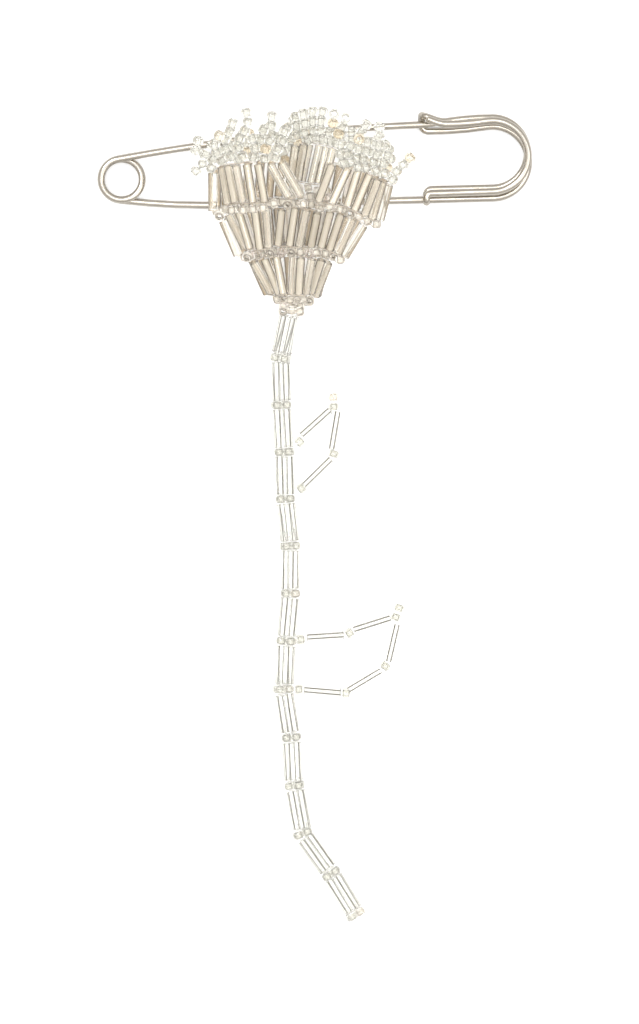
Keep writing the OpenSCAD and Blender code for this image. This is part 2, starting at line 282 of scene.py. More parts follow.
class Effects:
    """Shader groups that several finishes use."""

    spread = 37.0

    def __init__(self) -> None:
        """Builds each group once."""
        self.streaks = self.build_streaks()
        self.marks = self.build_marks()

    @staticmethod
    def build_streaks() -> NodeTree:
        """The melt streaks along drawn glass, from a place and a chance."""
        maker, start, end = group_tree(
            "Melt streaks",
            "ShaderNodeTree",
            [
                ("Place", "NodeSocketVector", None),
                ("Chance", "NodeSocketFloat", 0.0),
                ("Fineness", "NodeSocketFloat", 4.0),
                ("Stretch", "NodeSocketFloat", 0.08),
            ],
            [("Mask", "NodeSocketFloat"), ("Height", "NodeSocketFloat")],
        )
        split = maker.add("ShaderNodeSeparateXYZ", {0: start.outputs["Place"]})
        joined = maker.add("ShaderNodeCombineXYZ")
        shift = maker.math("MULTIPLY", start.outputs["Chance"], Effects.spread)
        for index, axis in enumerate("XYZ"):
            scaled = maker.math("MULTIPLY", split.outputs[axis], 1.0 / MM)
            if axis == "Z":
                scaled = maker.math("MULTIPLY", scaled, start.outputs["Stretch"])
            maker.feed(joined.inputs[index], maker.math("ADD", scaled, shift))
        noise = maker.add(
            "ShaderNodeTexNoise",
            {"Vector": joined, "Scale": start.outputs["Fineness"], "Detail": 3.0},
        )
        maker.feed(end.inputs["Mask"], maker.ranged(noise, 0.35, 0.65, 0.0, 1.0))
        maker.feed(end.inputs["Height"], noise)
        return maker.tree

    @staticmethod
    def build_marks() -> NodeTree:
        """The soft smudges of a handled surface, from a place."""
        maker, start, end = group_tree(
            "Handling marks",
            "ShaderNodeTree",
            [("Place", "NodeSocketVector", None), ("Scale", "NodeSocketFloat", 260.0)],
            [("Mask", "NodeSocketFloat")],
        )
        noise = maker.add(
            "ShaderNodeTexNoise",
            {"Vector": start.outputs["Place"], "Scale": start.outputs["Scale"], "Detail": 4.0},
        )
        maker.feed(end.inputs["Mask"], maker.ranged(noise, 0.42, 0.7, 0.0, 1.0))
        return maker.tree

    def along_bead(
        self, maker: TreeMaker, chance: NodeSocket, fineness: float, stretch: float
    ) -> Node:
        """The melt streaks of a bead, along its own hole."""
        place = maker.attribute("bead_place", "Vector")
        return maker.effect(
            self.streaks, Place=place, Chance=chance, Fineness=fineness, Stretch=stretch
        )

    def handled(self, maker: TreeMaker, scale: float) -> Node:
        """The handling marks of a surface."""
        return maker.effect(self.marks, Place=maker.here(), Scale=scale)


# Finishes


@dataclass(frozen=True)
class Finish:
    """What every finish has: its name, and a material made from its shader."""

    name: str

    def shader(self, maker: TreeMaker, effects: Effects) -> Node:
        """Builds the finish's own shader in a material's tree.

        Args:
            maker: The material's tree maker.
            effects: The shared shader groups.

        Returns:
            The shader's last node.
        """
        raise NotImplementedError

    def make(self, effects: Effects) -> Material:
        """Makes the material."""
        material = bpy.data.materials.new(self.name)
        material.use_nodes = True
        material.node_tree.nodes.clear()
        maker = TreeMaker(material.node_tree)
        maker.add("ShaderNodeOutputMaterial", {"Surface": self.shader(maker, effects)})
        return material


@dataclass(frozen=True)
class GlassFinish(Finish):
    """Glass of drawn or pressed beads, clear or tinted."""

    tint: Colour
    deep_tint: Colour
    odd_tint: Colour
    odd_share: float = 0.1
    transmission: float = 1.0
    wave: float = 0.08
    ior: float = 1.51
    rough: float = 0.012
    dull: float = 0.06
    shadow: Colour = (0.95, 0.945, 0.93)
    fineness: float = 3.2
    stretch: float = 0.07
    mark_scale: float = 420.0
    wave_depth: float = 0.02
    odd_blend: float = 0.01

    def shader(self, maker: TreeMaker, effects: Effects) -> Node:
        """Streaky glass with an odd bead here and there, whose shadow is faint."""
        chance = maker.attribute("bead_chance")
        streaks = effects.along_bead(maker, chance, self.fineness, self.stretch)
        marks = effects.handled(maker, self.mark_scale)
        colour = maker.colour_mix(streaks.outputs["Mask"], self.tint, self.deep_tint)
        least = 1.0 - self.odd_share
        odd = maker.ranged(
            chance, least - self.odd_blend, least + self.odd_blend, 0.0, 1.0
        )
        glass = maker.add(
            "ShaderNodeBsdfPrincipled",
            {
                "Base Color": maker.colour_mix(odd, colour, self.odd_tint),
                "Roughness": maker.ranged(marks, 0.0, 1.0, self.rough, self.dull),
                "Transmission Weight": self.transmission,
                "IOR": self.ior,
                "Normal": maker.bump(self.wave, self.wave_depth, streaks.outputs["Height"]),
            },
        )
        clear = maker.add("ShaderNodeBsdfTransparent", {"Color": self.shadow})
        shadow_ray = maker.add("ShaderNodeLightPath").outputs["Is Shadow Ray"]
        return maker.add("ShaderNodeMixShader", {0: shadow_ray, 1: glass, 2: clear})


@dataclass(frozen=True)
class LiningFinish(Finish):
    """The lining of a bead's hole: sheer where it is faced, denser along its edges."""

    sheer: Colour
    dense: Colour
    sheer_alpha: float
    dense_alpha: float
    edge_from: float
    edge_to: float
    metallic: float = 0.2
    rough: float = 0.24
    mottle: float = 0.05
    odd_share: float = 0.2
    odd_alpha: float = 0.45
    pale_alpha: float = 0.3
    # painted shade: the darker lining colour given to beads behind the front ones (pale below
    # 0)
    painted_shade: Colour = (0.66, 0.54, 0.38)
    fineness: float = 2.4
    stretch: float = 0.05
    odd_blend: float = 0.01

    def shader(self, maker: TreeMaker, effects: Effects) -> Node:
        """A lining that some beads have nearly lost, with painted shade on the beads behind.

        Args:
            maker: The material's tree maker.
            effects: The shared shader groups.

        Returns:
            The shader's last node.
        """
        chance = maker.attribute("bead_chance")
        pale = maker.attribute("pale")
        streaks = effects.along_bead(maker, chance, self.fineness, self.stretch)
        facing = maker.add("ShaderNodeLayerWeight").outputs["Facing"]
        edge = maker.ranged(facing, self.edge_from, self.edge_to, 0.0, 1.0)
        streaky = maker.math("MULTIPLY_ADD", streaks.outputs["Mask"], self.mottle, edge)
        # painted shade: beads behind take the darker painted-shade colour instead of the sheer
        # one
        shade = maker.ranged(pale, -1.0, 0.0, 1.0, 0.0)
        body = maker.colour_mix(shade, self.sheer, self.painted_shade)
        colour = maker.colour_mix(maker.math("MINIMUM", streaky, 1.0), body, self.dense)
        alpha = maker.ranged(edge, 0.0, 1.0, self.sheer_alpha, self.dense_alpha)
        least = 1.0 - self.odd_share
        worn = maker.ranged(chance, least, least + self.odd_blend, 1.0, self.odd_alpha)
        kept = maker.ranged(pale, 0.0, 1.0, 1.0, self.pale_alpha)
        shown = maker.math("MULTIPLY", worn, kept)
        return maker.add(
            "ShaderNodeBsdfPrincipled",
            {
                "Base Color": colour,
                "Metallic": self.metallic,
                "Roughness": self.rough,
                "Alpha": maker.math("MULTIPLY", alpha, shown),
            },
        )


@dataclass(frozen=True)
class SteelFinish(Finish):
    """Bright plated wire with fine lines drawn along it."""

    bright: Colour = (0.61, 0.57, 0.51)
    worn: Colour = (0.5, 0.46, 0.4)
    rough: float = 0.13
    dull: float = 0.34
    along_scale: float = 18.0
    line_scale: float = 9.0
    line_wear: float = 0.55
    line_relief: float = 0.35
    line_depth: float = 0.02
    mark_scale: float = 190.0
    mark_wear: float = 0.45

    def shader(self, maker: TreeMaker, effects: Effects) -> Node:
        """Metal whose drawn lines follow the wire round and along."""
        turn = maker.math("MULTIPLY", maker.attribute("wire_around"), 2.0 * math.pi)
        along = maker.math("MULTIPLY", maker.attribute("wire_along"), self.along_scale)
        around = {0: maker.math("COSINE", turn), 1: maker.math("SINE", turn), 2: along}
        place = maker.add("ShaderNodeCombineXYZ", around)
        inputs = {"Vector": place, "Scale": self.line_scale, "Detail": 4.0}
        lines = maker.add("ShaderNodeTexNoise", inputs)
        marks = effects.handled(maker, self.mark_scale)
        drawn = maker.ranged(lines, 0.4, 0.75, 0.0, self.line_wear)
        wear = maker.math("MULTIPLY_ADD", marks, self.mark_wear, drawn)
        return maker.add(
            "ShaderNodeBsdfPrincipled",
            {
                "Metallic": 1.0,
                "Base Color": maker.colour_mix(wear, self.bright, self.worn),
                "Roughness": maker.ranged(wear, 0.0, 1.0, self.rough, self.dull),
                "Normal": maker.bump(self.line_relief, self.line_depth, lines),
            },
        )


@dataclass(frozen=True)
class ThreadFinish(Finish):
    """Fine thread or line, a little darker where it is soiled."""

    pale: Colour
    soiled: Colour
    rough: float
    alpha: float = 1.0
    sheen: float = 0.0
    relief: float = 0.0
    relief_depth: float = 0.03
    twist: float = 0.35
    mark_scale: float = 900.0

    def shader(self, maker: TreeMaker, effects: Effects) -> Node:
        """Thread with a ridge at each twist along it, or line that has none."""
        marks = effects.handled(maker, self.mark_scale)
        inputs = {
            "Base Color": maker.colour_mix(marks, self.pale, self.soiled),
            "Roughness": self.rough,
            "Alpha": self.alpha,
            "Sheen Weight": self.sheen,
        }
        if self.relief:
            turns = 2.0 * math.pi / (self.twist * MM)
            twisted = maker.math("MULTIPLY", maker.attribute("thread_along"), turns)
            ridges = maker.math("SINE", twisted)
            inputs["Normal"] = maker.bump(self.relief, self.relief_depth, ridges)
        return maker.add("ShaderNodeBsdfPrincipled", inputs)


@dataclass(frozen=True)
class TableFinish(Finish):
    """A light table that glows under the brooch and fades outwards."""

    colour: Colour = (0.8, 0.8, 0.8)
    rough: float = 0.9
    gloss: float = 0.1
    light: Colour = (1.0, 0.995, 0.985)
    strength: float = 0.5
    bright_within: float = 0.13
    dim_from: float = 0.75
    dim: float = 0.12

    def shader(self, maker: TreeMaker, effects: Effects) -> Node:
        """A matt surface whose glow doesn't show in reflections."""
        length = maker.add("ShaderNodeVectorMath", {0: maker.here()}, operation="LENGTH")
        glow = maker.ranged(
            length.outputs["Value"], self.bright_within, self.dim_from, 1.0, self.dim
        )
        path = maker.add("ShaderNodeLightPath").outputs
        through = maker.math("SUBTRACT", 1.0, path["Is Transmission Ray"])
        mirrored = maker.math("MULTIPLY", path["Is Glossy Ray"], through)
        dimmed = maker.ranged(mirrored, 0.0, 1.0, self.strength, 0.0)
        return maker.add(
            "ShaderNodeBsdfPrincipled",
            {
                "Base Color": self.colour,
                "Roughness": self.rough,
                "Specular IOR Level": self.gloss,
                "Emission Color": self.light,
                "Emission Strength": maker.math("MULTIPLY", glow, dimmed),
            },
        )


class Shelf:
    """Makes each finish's material the first time that it is asked for."""

    def __init__(self) -> None:
        """Builds the shared effects."""
        self.effects = Effects()
        self.made: dict[str, Material] = {}

    def material(self, finish: Finish) -> Material:
        """The material of a finish."""
        if finish.name not in self.made:
            self.made[finish.name] = finish.make(self.effects)
        return self.made[finish.name]


@dataclass(frozen=True)
class BeadLook:
    """The finishes of one strand and the record's slot that it takes them from."""

    tubes: Finish
    tube_lining: Finish
    seeds: Finish
    seed_lining: Finish
    thread: Finish
    slot: Slot
    bore_scale: float = 1.0
    seed_scale: float = 1.0


PICOT_SCALE = 1.1
STEEL = SteelFinish("plated_steel")
NYLON = ThreadFinish("nylon_line", (0.74, 0.74, 0.7), (0.58, 0.58, 0.54), 0.3, alpha=0.28)
WAXED = ThreadFinish(
    "waxed_thread", (0.62, 0.54, 0.45), (0.36, 0.3, 0.24), 0.55, sheen=0.3, relief=0.6
)
MILKY_LINING = LiningFinish(
    "milky_lining", (0.8, 0.79, 0.74), (0.2, 0.185, 0.15), 0.3, 0.9, 0.4, 0.7,
    metallic=0.5, mottle=0.12,
)
CHAMPAGNE = BeadLook(
    GlassFinish(
        "champagne_glass", (0.985, 0.975, 0.95), (0.975, 0.962, 0.932),
        (0.985, 0.98, 0.965), odd_share=0.25, wave=0.006,
    ),
    LiningFinish(
        "champagne_lining", (0.92, 0.855, 0.735), (0.07, 0.048, 0.027), 0.62, 0.98,
        0.34, 0.47, metallic=0.4, rough=0.14, mottle=0.0,
    ),
    GlassFinish(
        "champagne_seed_glass", (0.99, 0.965, 0.915), (0.96, 0.925, 0.865),
        (0.95, 0.89, 0.85), transmission=0.9, wave=0.12,
    ),
    LiningFinish(
        "champagne_seed_lining", (0.98, 0.95, 0.89), (0.07, 0.045, 0.025), 0.7, 0.98,
        0.36, 0.62, mottle=0.03,
    ),
    WAXED,
    Slot.CHAMPAGNE,
    bore_scale=1.5,
)
CLEAR = BeadLook(
    GlassFinish(
        "clear_glass", (0.965, 0.967, 0.952), (0.94, 0.945, 0.925), (0.95, 0.955, 0.94),
        wave=0.02,
    ),
    LiningFinish(
        "clear_lining", (0.9, 0.9, 0.88), (0.14, 0.13, 0.105), 0.08, 0.8, 0.16, 0.4,
        odd_share=0.0,
    ),
    GlassFinish(
        "clear_seed_glass", (0.93, 0.933, 0.91), (0.87, 0.875, 0.84), (0.9, 0.87, 0.83),
        transmission=0.94, wave=0.04,
    ),
    MILKY_LINING,
    NYLON,
    Slot.CLEAR,
)
LEAF = replace(
    CLEAR,
    tube_lining=LiningFinish(
        "leaf_lining", (0.85, 0.85, 0.81), (0.15, 0.135, 0.11), 0.12, 0.95, 0.06, 0.28,
        odd_share=0.0,
    ),
    seeds=GlassFinish(
        "leaf_seed_glass", (0.82, 0.82, 0.78), (0.68, 0.68, 0.62), (0.8, 0.75, 0.68),
        transmission=0.95, wave=0.06,
    ),
)
FRINGE = replace(
    CLEAR,
    seeds=GlassFinish(
        "milky_seed_glass", (0.905, 0.905, 0.875), (0.83, 0.83, 0.785), (0.9, 0.81, 0.66),
        odd_share=0.15, transmission=0.88, wave=0.15,
    ),
    seed_scale=PICOT_SCALE,
)


# Beads


@dataclass(frozen=True)
class BeadSizes:
    """Sizes of the beads and their thread, in millimetres."""

    tube_length: float = 7.0
    tube_radius: float = 0.85
    tube_bore: float = 0.33
    tube_bevel: float = 0.1
    seed_length: float = 1.35
    seed_radius: float = 0.92
    seed_bore: float = 0.4
    thread_radius: float = 0.06
    gap: float = 0.1
    tube_sides: int = 16
    seed_sides: int = 12
    seed_profile: int = 6
    thread_sides: int = 6
    variation: float = 0.05
    tube_lined: float = 0.02
    seed_lined: float = 0.05


BEADS = BeadSizes()


@dataclass
class Strand:
    """Beads and thread of one piece, charted in millimetres."""

    name: str
    points: list[Vector] = field(default_factory=list)
    ways: list[Vector] = field(default_factory=list)
    kinds: list[int] = field(default_factory=list)
    pales: list[float] = field(default_factory=list)
    edges: list[tuple[int, int]] = field(default_factory=list)

    def put(self, at: Vector, way: Vector, kind: BeadKind, pale: float = 0.0) -> int:
        """Charts one point.

        Args:
            at: The point's place.
            way: The direction of its hole.
            kind: What it carries.
            pale: 0 for a full lining, 1 for a worn one, -1 for one with painted shade.

        Returns:
            The point's number.
        """
        self.points.append(Vector(at))
        self.ways.append(Vector(way).normalized())
        self.kinds.append(kind.value)
        self.pales.append(pale)
        return len(self.points) - 1

    def tube(self, low: Vector, top: Vector) -> tuple[Vector, Vector]:
        """Charts a tube bead midway between two points and returns its two ends."""
        way = (top - low).normalized()
        middle = (low + top) / 2
        self.put(middle, way, BeadKind.TUBE)
        return middle - way * BEADS.tube_length / 2, middle + way * BEADS.tube_length / 2

    def seed(self, at: Vector, way: Vector) -> Vector:
        """Charts a seed bead and returns its place."""
        self.put(at, way, BeadKind.SEED)
        return at

    def thread(self, route: Sequence[Vector]) -> None:
        """Charts a run of thread through the points of a route."""
        numbers = [self.put(at, UP, BeadKind.THREAD) for at in route]
        self.edges.extend(zip(numbers, numbers[1:]))


class StrungBeads:
    """Geometry tree that sets beads and thread on a strand's points."""

    sharp_from = 40.0
    seed_draw = 100
    roll_draw = 11.0
    size_draw = 23.0

    def __init__(self, shelf: Shelf) -> None:
        """Builds the tree once."""
        self.shelf = shelf
        self.tree = self.build()

    @staticmethod
    def pick(maker: TreeMaker, points: NodeSocket, kind: BeadKind) -> Node:
        """Keeps the charted points of one kind."""
        same = maker.add(
            "FunctionNodeCompare", {2: maker.named("INT", "kind"), 3: kind.value},
            data_type="INT", operation="EQUAL",
        )
        inputs = {"Geometry": points, "Selection": same}
        return maker.add("GeometryNodeSeparateGeometry", inputs, domain="POINT")

    def turned_bead(
        self, maker: TreeMaker, profile: Node, radius: NodeSocket, sides: int,
        lined: NodeSocket, glass: NodeSocket, lining: NodeSocket,
    ) -> Node:
        """Turns a profile about the bead's hole.

        Args:
            maker: The tree's maker.
            profile: The wall's outline as a curve.
            radius: Distance from the hole's middle to the wall's middle.
            sides: How many sides the bead has.
            lined: Distance from the hole's middle within which a face is the hole's own.
            glass: The bead's material.
            lining: The hole's material.

        Returns:
            The bead's mesh, smooth but for its rims.
        """
        path = maker.add(
            "GeometryNodeSetCurveNormal", {"Curve": maker.circle(sides, radius)}, mode="Z_UP"
        )
        swept = maker.add("GeometryNodeCurveToMesh", {"Curve": path, "Profile Curve": profile})
        smooth = maker.add("GeometryNodeSetShadeSmooth", {0: swept}, domain="FACE")
        angle = maker.add("GeometryNodeInputMeshEdgeAngle")
        sharp = maker.math("GREATER_THAN", angle, math.radians(self.sharp_from))
        rims = maker.add(
            "GeometryNodeSetShadeSmooth", {0: smooth, 1: sharp, 2: False}, domain="EDGE"
        )
        place = maker.add("GeometryNodeInputPosition")
        stored = maker.stored("FLOAT_VECTOR", rims, "bead_place", place)
        flat = maker.add(
            "ShaderNodeVectorMath", {0: place, 1: (1.0, 1.0, 0.0)}, operation="MULTIPLY"
        )
        out = maker.add("ShaderNodeVectorMath", {0: flat}, operation="LENGTH")
        bead = maker.dressed(maker.dressed(stored, glass), lining)
        inside = maker.math("LESS_THAN", out.outputs["Value"], lined)
        maker.feed(bead.inputs["Selection"], inside)
        return bead

    def set_on(
        self, maker: TreeMaker, points: Node, bead: Node, start: Node, draw: int
    ) -> Node:
        """Sets a bead on each point, turned along its way, with a little chance in its size.

        Args:
            maker: The tree's maker.
            points: The points.
            bead: The bead's mesh.
            start: The group's input node.
            draw: Number of this draw, so that tubes and seeds differ.

        Returns:
            The realized beads.
        """
        seed = maker.math("ADD", start.outputs["Seed"], draw)
        chance = maker.add("FunctionNodeRandomValue", data_type="FLOAT")
        maker.feed(chance.inputs["Seed"], seed)
        marked = maker.stored("FLOAT", points, "bead_chance", chance.outputs[1])
        roll = maker.add("FunctionNodeRandomValue", {3: 2.0 * math.pi}, data_type="FLOAT")
        maker.feed(roll.inputs["Seed"], maker.math("ADD", seed, self.roll_draw))
        turn = maker.add(
            "FunctionNodeAxisAngleToRotation", {"Axis": UP, "Angle": roll.outputs[1]}
        )
        facing = maker.add(
            "FunctionNodeAlignRotationToVector",
            {"Rotation": turn, "Vector": maker.named("FLOAT_VECTOR", "way")}, axis="Z",
        )
        least = maker.math("SUBTRACT", 1.0, start.outputs["Variation"])
        size = maker.add(
            "FunctionNodeRandomValue", {0: least, 1: (1.0, 1.0, 1.0)},
            data_type="FLOAT_VECTOR",
        )
        maker.feed(size.inputs["Seed"], maker.math("ADD", seed, self.size_draw))
        inputs = {"Points": marked, "Instance": bead, "Rotation": facing, "Scale": size}
        placed = maker.add("GeometryNodeInstanceOnPoints", inputs)
        return maker.add("GeometryNodeRealizeInstances", {0: placed})

    def build(self) -> NodeTree:
        """Builds the whole tree."""
        lengths = (
            ("Tube Length", BEADS.tube_length), ("Tube Radius", BEADS.tube_radius),
            ("Tube Bore", BEADS.tube_bore), ("Tube Bevel", BEADS.tube_bevel),
            ("Seed Length", BEADS.seed_length), ("Seed Radius", BEADS.seed_radius),
            ("Seed Bore", BEADS.seed_bore), ("Thread Radius", BEADS.thread_radius),
        )
        materials = ("Tube Glass", "Tube Lining", "Seed Glass", "Seed Lining", "Thread")
        maker, start, end = group_tree(
            "Strung beads",
            "GeometryNodeTree",
            [
                ("Geometry", "NodeSocketGeometry", None),
                *((label, "NodeSocketFloat", length * MM) for label, length in lengths),
                ("Variation", "NodeSocketFloat", BEADS.variation),
                ("Seed", "NodeSocketInt", 1),
                *((label, "NodeSocketMaterial", None) for label in materials),
            ],
            [("Geometry", "NodeSocketGeometry")],
        )
        size = start.outputs
        wall = maker.math("SUBTRACT", size["Tube Radius"], size["Tube Bore"])
        middle = maker.math("SUBTRACT", size["Tube Radius"], maker.math("DIVIDE", wall, 2.0))
        outline = maker.add(
            "GeometryNodeCurvePrimitiveQuadrilateral",
            {"Width": wall, "Height": size["Tube Length"]}, mode="RECTANGLE",
        )
        bevelled = maker.add(
            "GeometryNodeFilletCurve",
            {"Curve": outline, "Count": 1, "Radius": size["Tube Bevel"]}, mode="POLY",
        )
        tube_lined = maker.math("ADD", size["Tube Bore"], BEADS.tube_lined * MM)
        tube = self.turned_bead(
            maker, bevelled, middle, BEADS.tube_sides, tube_lined,
            size["Tube Glass"], size["Tube Lining"],
        )

        round_wall = maker.math("SUBTRACT", size["Seed Radius"], size["Seed Bore"])
        half_wall = maker.math("DIVIDE", round_wall, 2.0)
        round_middle = maker.math("SUBTRACT", size["Seed Radius"], half_wall)
        corner = math.pi / BEADS.seed_profile
        turned = maker.add(
            "GeometryNodeTransform",
            {"Geometry": maker.circle(BEADS.seed_profile, 1.0), "Rotation": (0.0, 0.0, corner)},
        )
        half_length = maker.math("DIVIDE", size["Seed Length"], 2.0)
        flat_wall = maker.math("DIVIDE", half_wall, math.cos(corner))
        scale = maker.add("ShaderNodeCombineXYZ", {0: flat_wall, 1: half_length, 2: 1.0})
        stretched = maker.add("GeometryNodeTransform", {"Geometry": turned, "Scale": scale})
        seed_lined = maker.math("ADD", size["Seed Bore"], BEADS.seed_lined * MM)
        seed = self.turned_bead(
            maker, stretched, round_middle, BEADS.seed_sides, seed_lined,
            size["Seed Glass"], size["Seed Lining"],
        )

        points = size["Geometry"]
        tubes = self.set_on(maker, self.pick(maker, points, BeadKind.TUBE), tube, start, 0)
        seed_points = self.pick(maker, points, BeadKind.SEED)
        seeds = self.set_on(maker, seed_points, seed, start, self.seed_draw)
        threads = self.pick(maker, points, BeadKind.THREAD)
        runs = maker.add("GeometryNodeMeshToCurve", {"Mesh": threads})
        reach = maker.add("GeometryNodeSplineParameter").outputs["Length"]
        spun = maker.add(
            "GeometryNodeCurveToMesh",
            {
                "Curve": maker.stored("FLOAT", runs, "thread_along", reach),
                "Profile Curve": maker.circle(BEADS.thread_sides, size["Thread Radius"]),
                "Fill Caps": True,
            },
        )
        joined = maker.add("GeometryNodeJoinGeometry")
        for part in (maker.dressed(spun, size["Thread"]), seeds, tubes):
            maker.feed(joined.inputs[0], part)
        real = maker.add("GeometryNodeRealizeInstances", {0: joined})
        maker.feed(end.inputs[0], real)
        return maker.tree

    def string(self, strand: Strand, node: str, look: BeadLook, seed: int) -> Object:
        """Makes a strand into a finished piece that stands for its CAD node.

        Args:
            strand: The charted beads.
            node: The CAD node it replaces.
            look: Its finishes and slot.
            seed: Start of the piece's random draws.

        Returns:
            The finished piece.
        """
        host = new_host(strand.name, strand.points, strand.edges)
        store(host.data, "kind", "INT", strand.kinds)
        store(host.data, "way", "FLOAT_VECTOR", strand.ways)
        store(host.data, "pale", "FLOAT", strand.pales)
        values = {
            "Seed": seed,
            "Tube Bore": BEADS.tube_bore * look.bore_scale * MM,
            "Seed Radius": BEADS.seed_radius * look.seed_scale * MM,
            "Seed Length": BEADS.seed_length * look.seed_scale * MM,
            "Tube Glass": self.shelf.material(look.tubes),
            "Tube Lining": self.shelf.material(look.tube_lining),
            "Seed Glass": self.shelf.material(look.seeds),
            "Seed Lining": self.shelf.material(look.seed_lining),
            "Thread": self.shelf.material(look.thread),
        }
        piece = bake_tree(host, self.tree, values)
        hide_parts(node)
        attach(piece, Body.BROOCH.value)
        LOG.info("%s: %d beads and thread points", piece.name, len(strand.points))
        return piece


# Pin


@dataclass(frozen=True)
class Leg:
    """A leg of a wire: its length, its bend to the left and the roll before it."""

    length: float
    bend: float = 0.0
    roll: float = 0.0


def arc(radius: float, bend: float, roll: float = 0.0) -> Leg:
    """A leg that bends at a given radius."""
    return Leg(radius * math.radians(abs(bend)), bend, roll)


@dataclass
class WireTip:
    """The tip of a wire that is being routed: its place and its directions."""

    at: Vector
    ahead: Vector
    left: Vector
    up: Vector

    def rolled(self, roll: float) -> "WireTip":
        """The tip after a roll about its own direction, in degrees."""
        turn = Quaternion(self.ahead, math.radians(roll))
        return WireTip(self.at, self.ahead, turn @ self.left, turn @ self.up)

    def moved(self, length: float, bend: float) -> "WireTip":
        """The tip after a length with an even bend to its left, in degrees."""
        if bend == 0:
            return WireTip(self.at + self.ahead * length, self.ahead, self.left, self.up)
        angle = math.radians(bend)
        radius = length / angle
        step = (self.ahead * math.sin(angle) + self.left * (1 - math.cos(angle))) * radius
        turn = Quaternion(self.up, angle)
        return WireTip(self.at + step, turn @ self.ahead, turn @ self.left, self.up)


@dataclass
class WireRun:
    """Places along a wire and its radius at each, in millimetres."""

    places: list[Vector] = field(default_factory=list)
    radii: list[float] = field(default_factory=list)

    def add(self, place: Vector, radius: float) -> None:
        """Adds one place."""
        self.places.append(Vector(place))
        self.radii.append(radius)

    def dome(self, radius: float, steps: int = 6, reach: float = 88.0) -> None:
        """Rounds the wire's last end, within its length.

        Args:
            radius: The wire's radius.
            steps: Rings of the rounded end.
            reach: How far round the last ring lies, in degrees.
        """
        end = self.places.pop()
        self.radii.pop()
        way = (end - self.places[-1]).normalized()
        for step in range(steps + 1):
            angle = math.radians(reach) * step / steps
            self.add(end - way * radius * (1 - math.sin(angle)), radius * math.cos(angle))


class DrawnWire:
    """Geometry tree that draws a round wire along a run of places."""

    sides = 24

    def __init__(self, steel: Material) -> None:
        """Builds the tree once and keeps the wire's material."""
        self.steel = steel
        self.tree = self.build()

    def build(self) -> NodeTree:
        """Builds the whole tree."""
        maker, start, end = group_tree(
            "Drawn wire",
            "GeometryNodeTree",
            [
                ("Geometry", "NodeSocketGeometry", None),
                ("Thickness", "NodeSocketFloat", 1.0),
                ("Steel", "NodeSocketMaterial", None),
            ],
            [("Geometry", "NodeSocketGeometry")],
        )
        line = maker.add("GeometryNodeMeshToCurve", {"Mesh": start.outputs["Geometry"]})
        radius = maker.named("FLOAT", "wire_radius")
        place = maker.add("GeometryNodeSplineParameter").outputs
        section = maker.circle(self.sides, 1.0)
        drawn = maker.add(
            "GeometryNodeCurveToMesh",
            {
                "Curve": maker.stored("FLOAT", line, "wire_along", place["Length"]),
                "Profile Curve": maker.stored("FLOAT", section, "wire_around", place["Factor"]),
                "Scale": maker.math("MULTIPLY", radius, start.outputs["Thickness"]),
                "Fill Caps": True,
            },
        )
        real = maker.add("GeometryNodeRealizeInstances", {0: drawn})
        maker.feed(end.inputs[0], maker.dressed(real, start.outputs["Steel"]))
        return maker.tree

    def draw(self, name: str, run: WireRun) -> Object:
        """Draws a wire as a piece that rides on nothing yet."""
        edges = [(number, number + 1) for number in range(len(run.places) - 1)]
        host = new_host(name, run.places, edges)
        store(host.data, "wire_radius", "FLOAT", [radius * MM for radius in run.radii])
        return bake_tree(host, self.tree, {"Steel": self.steel})


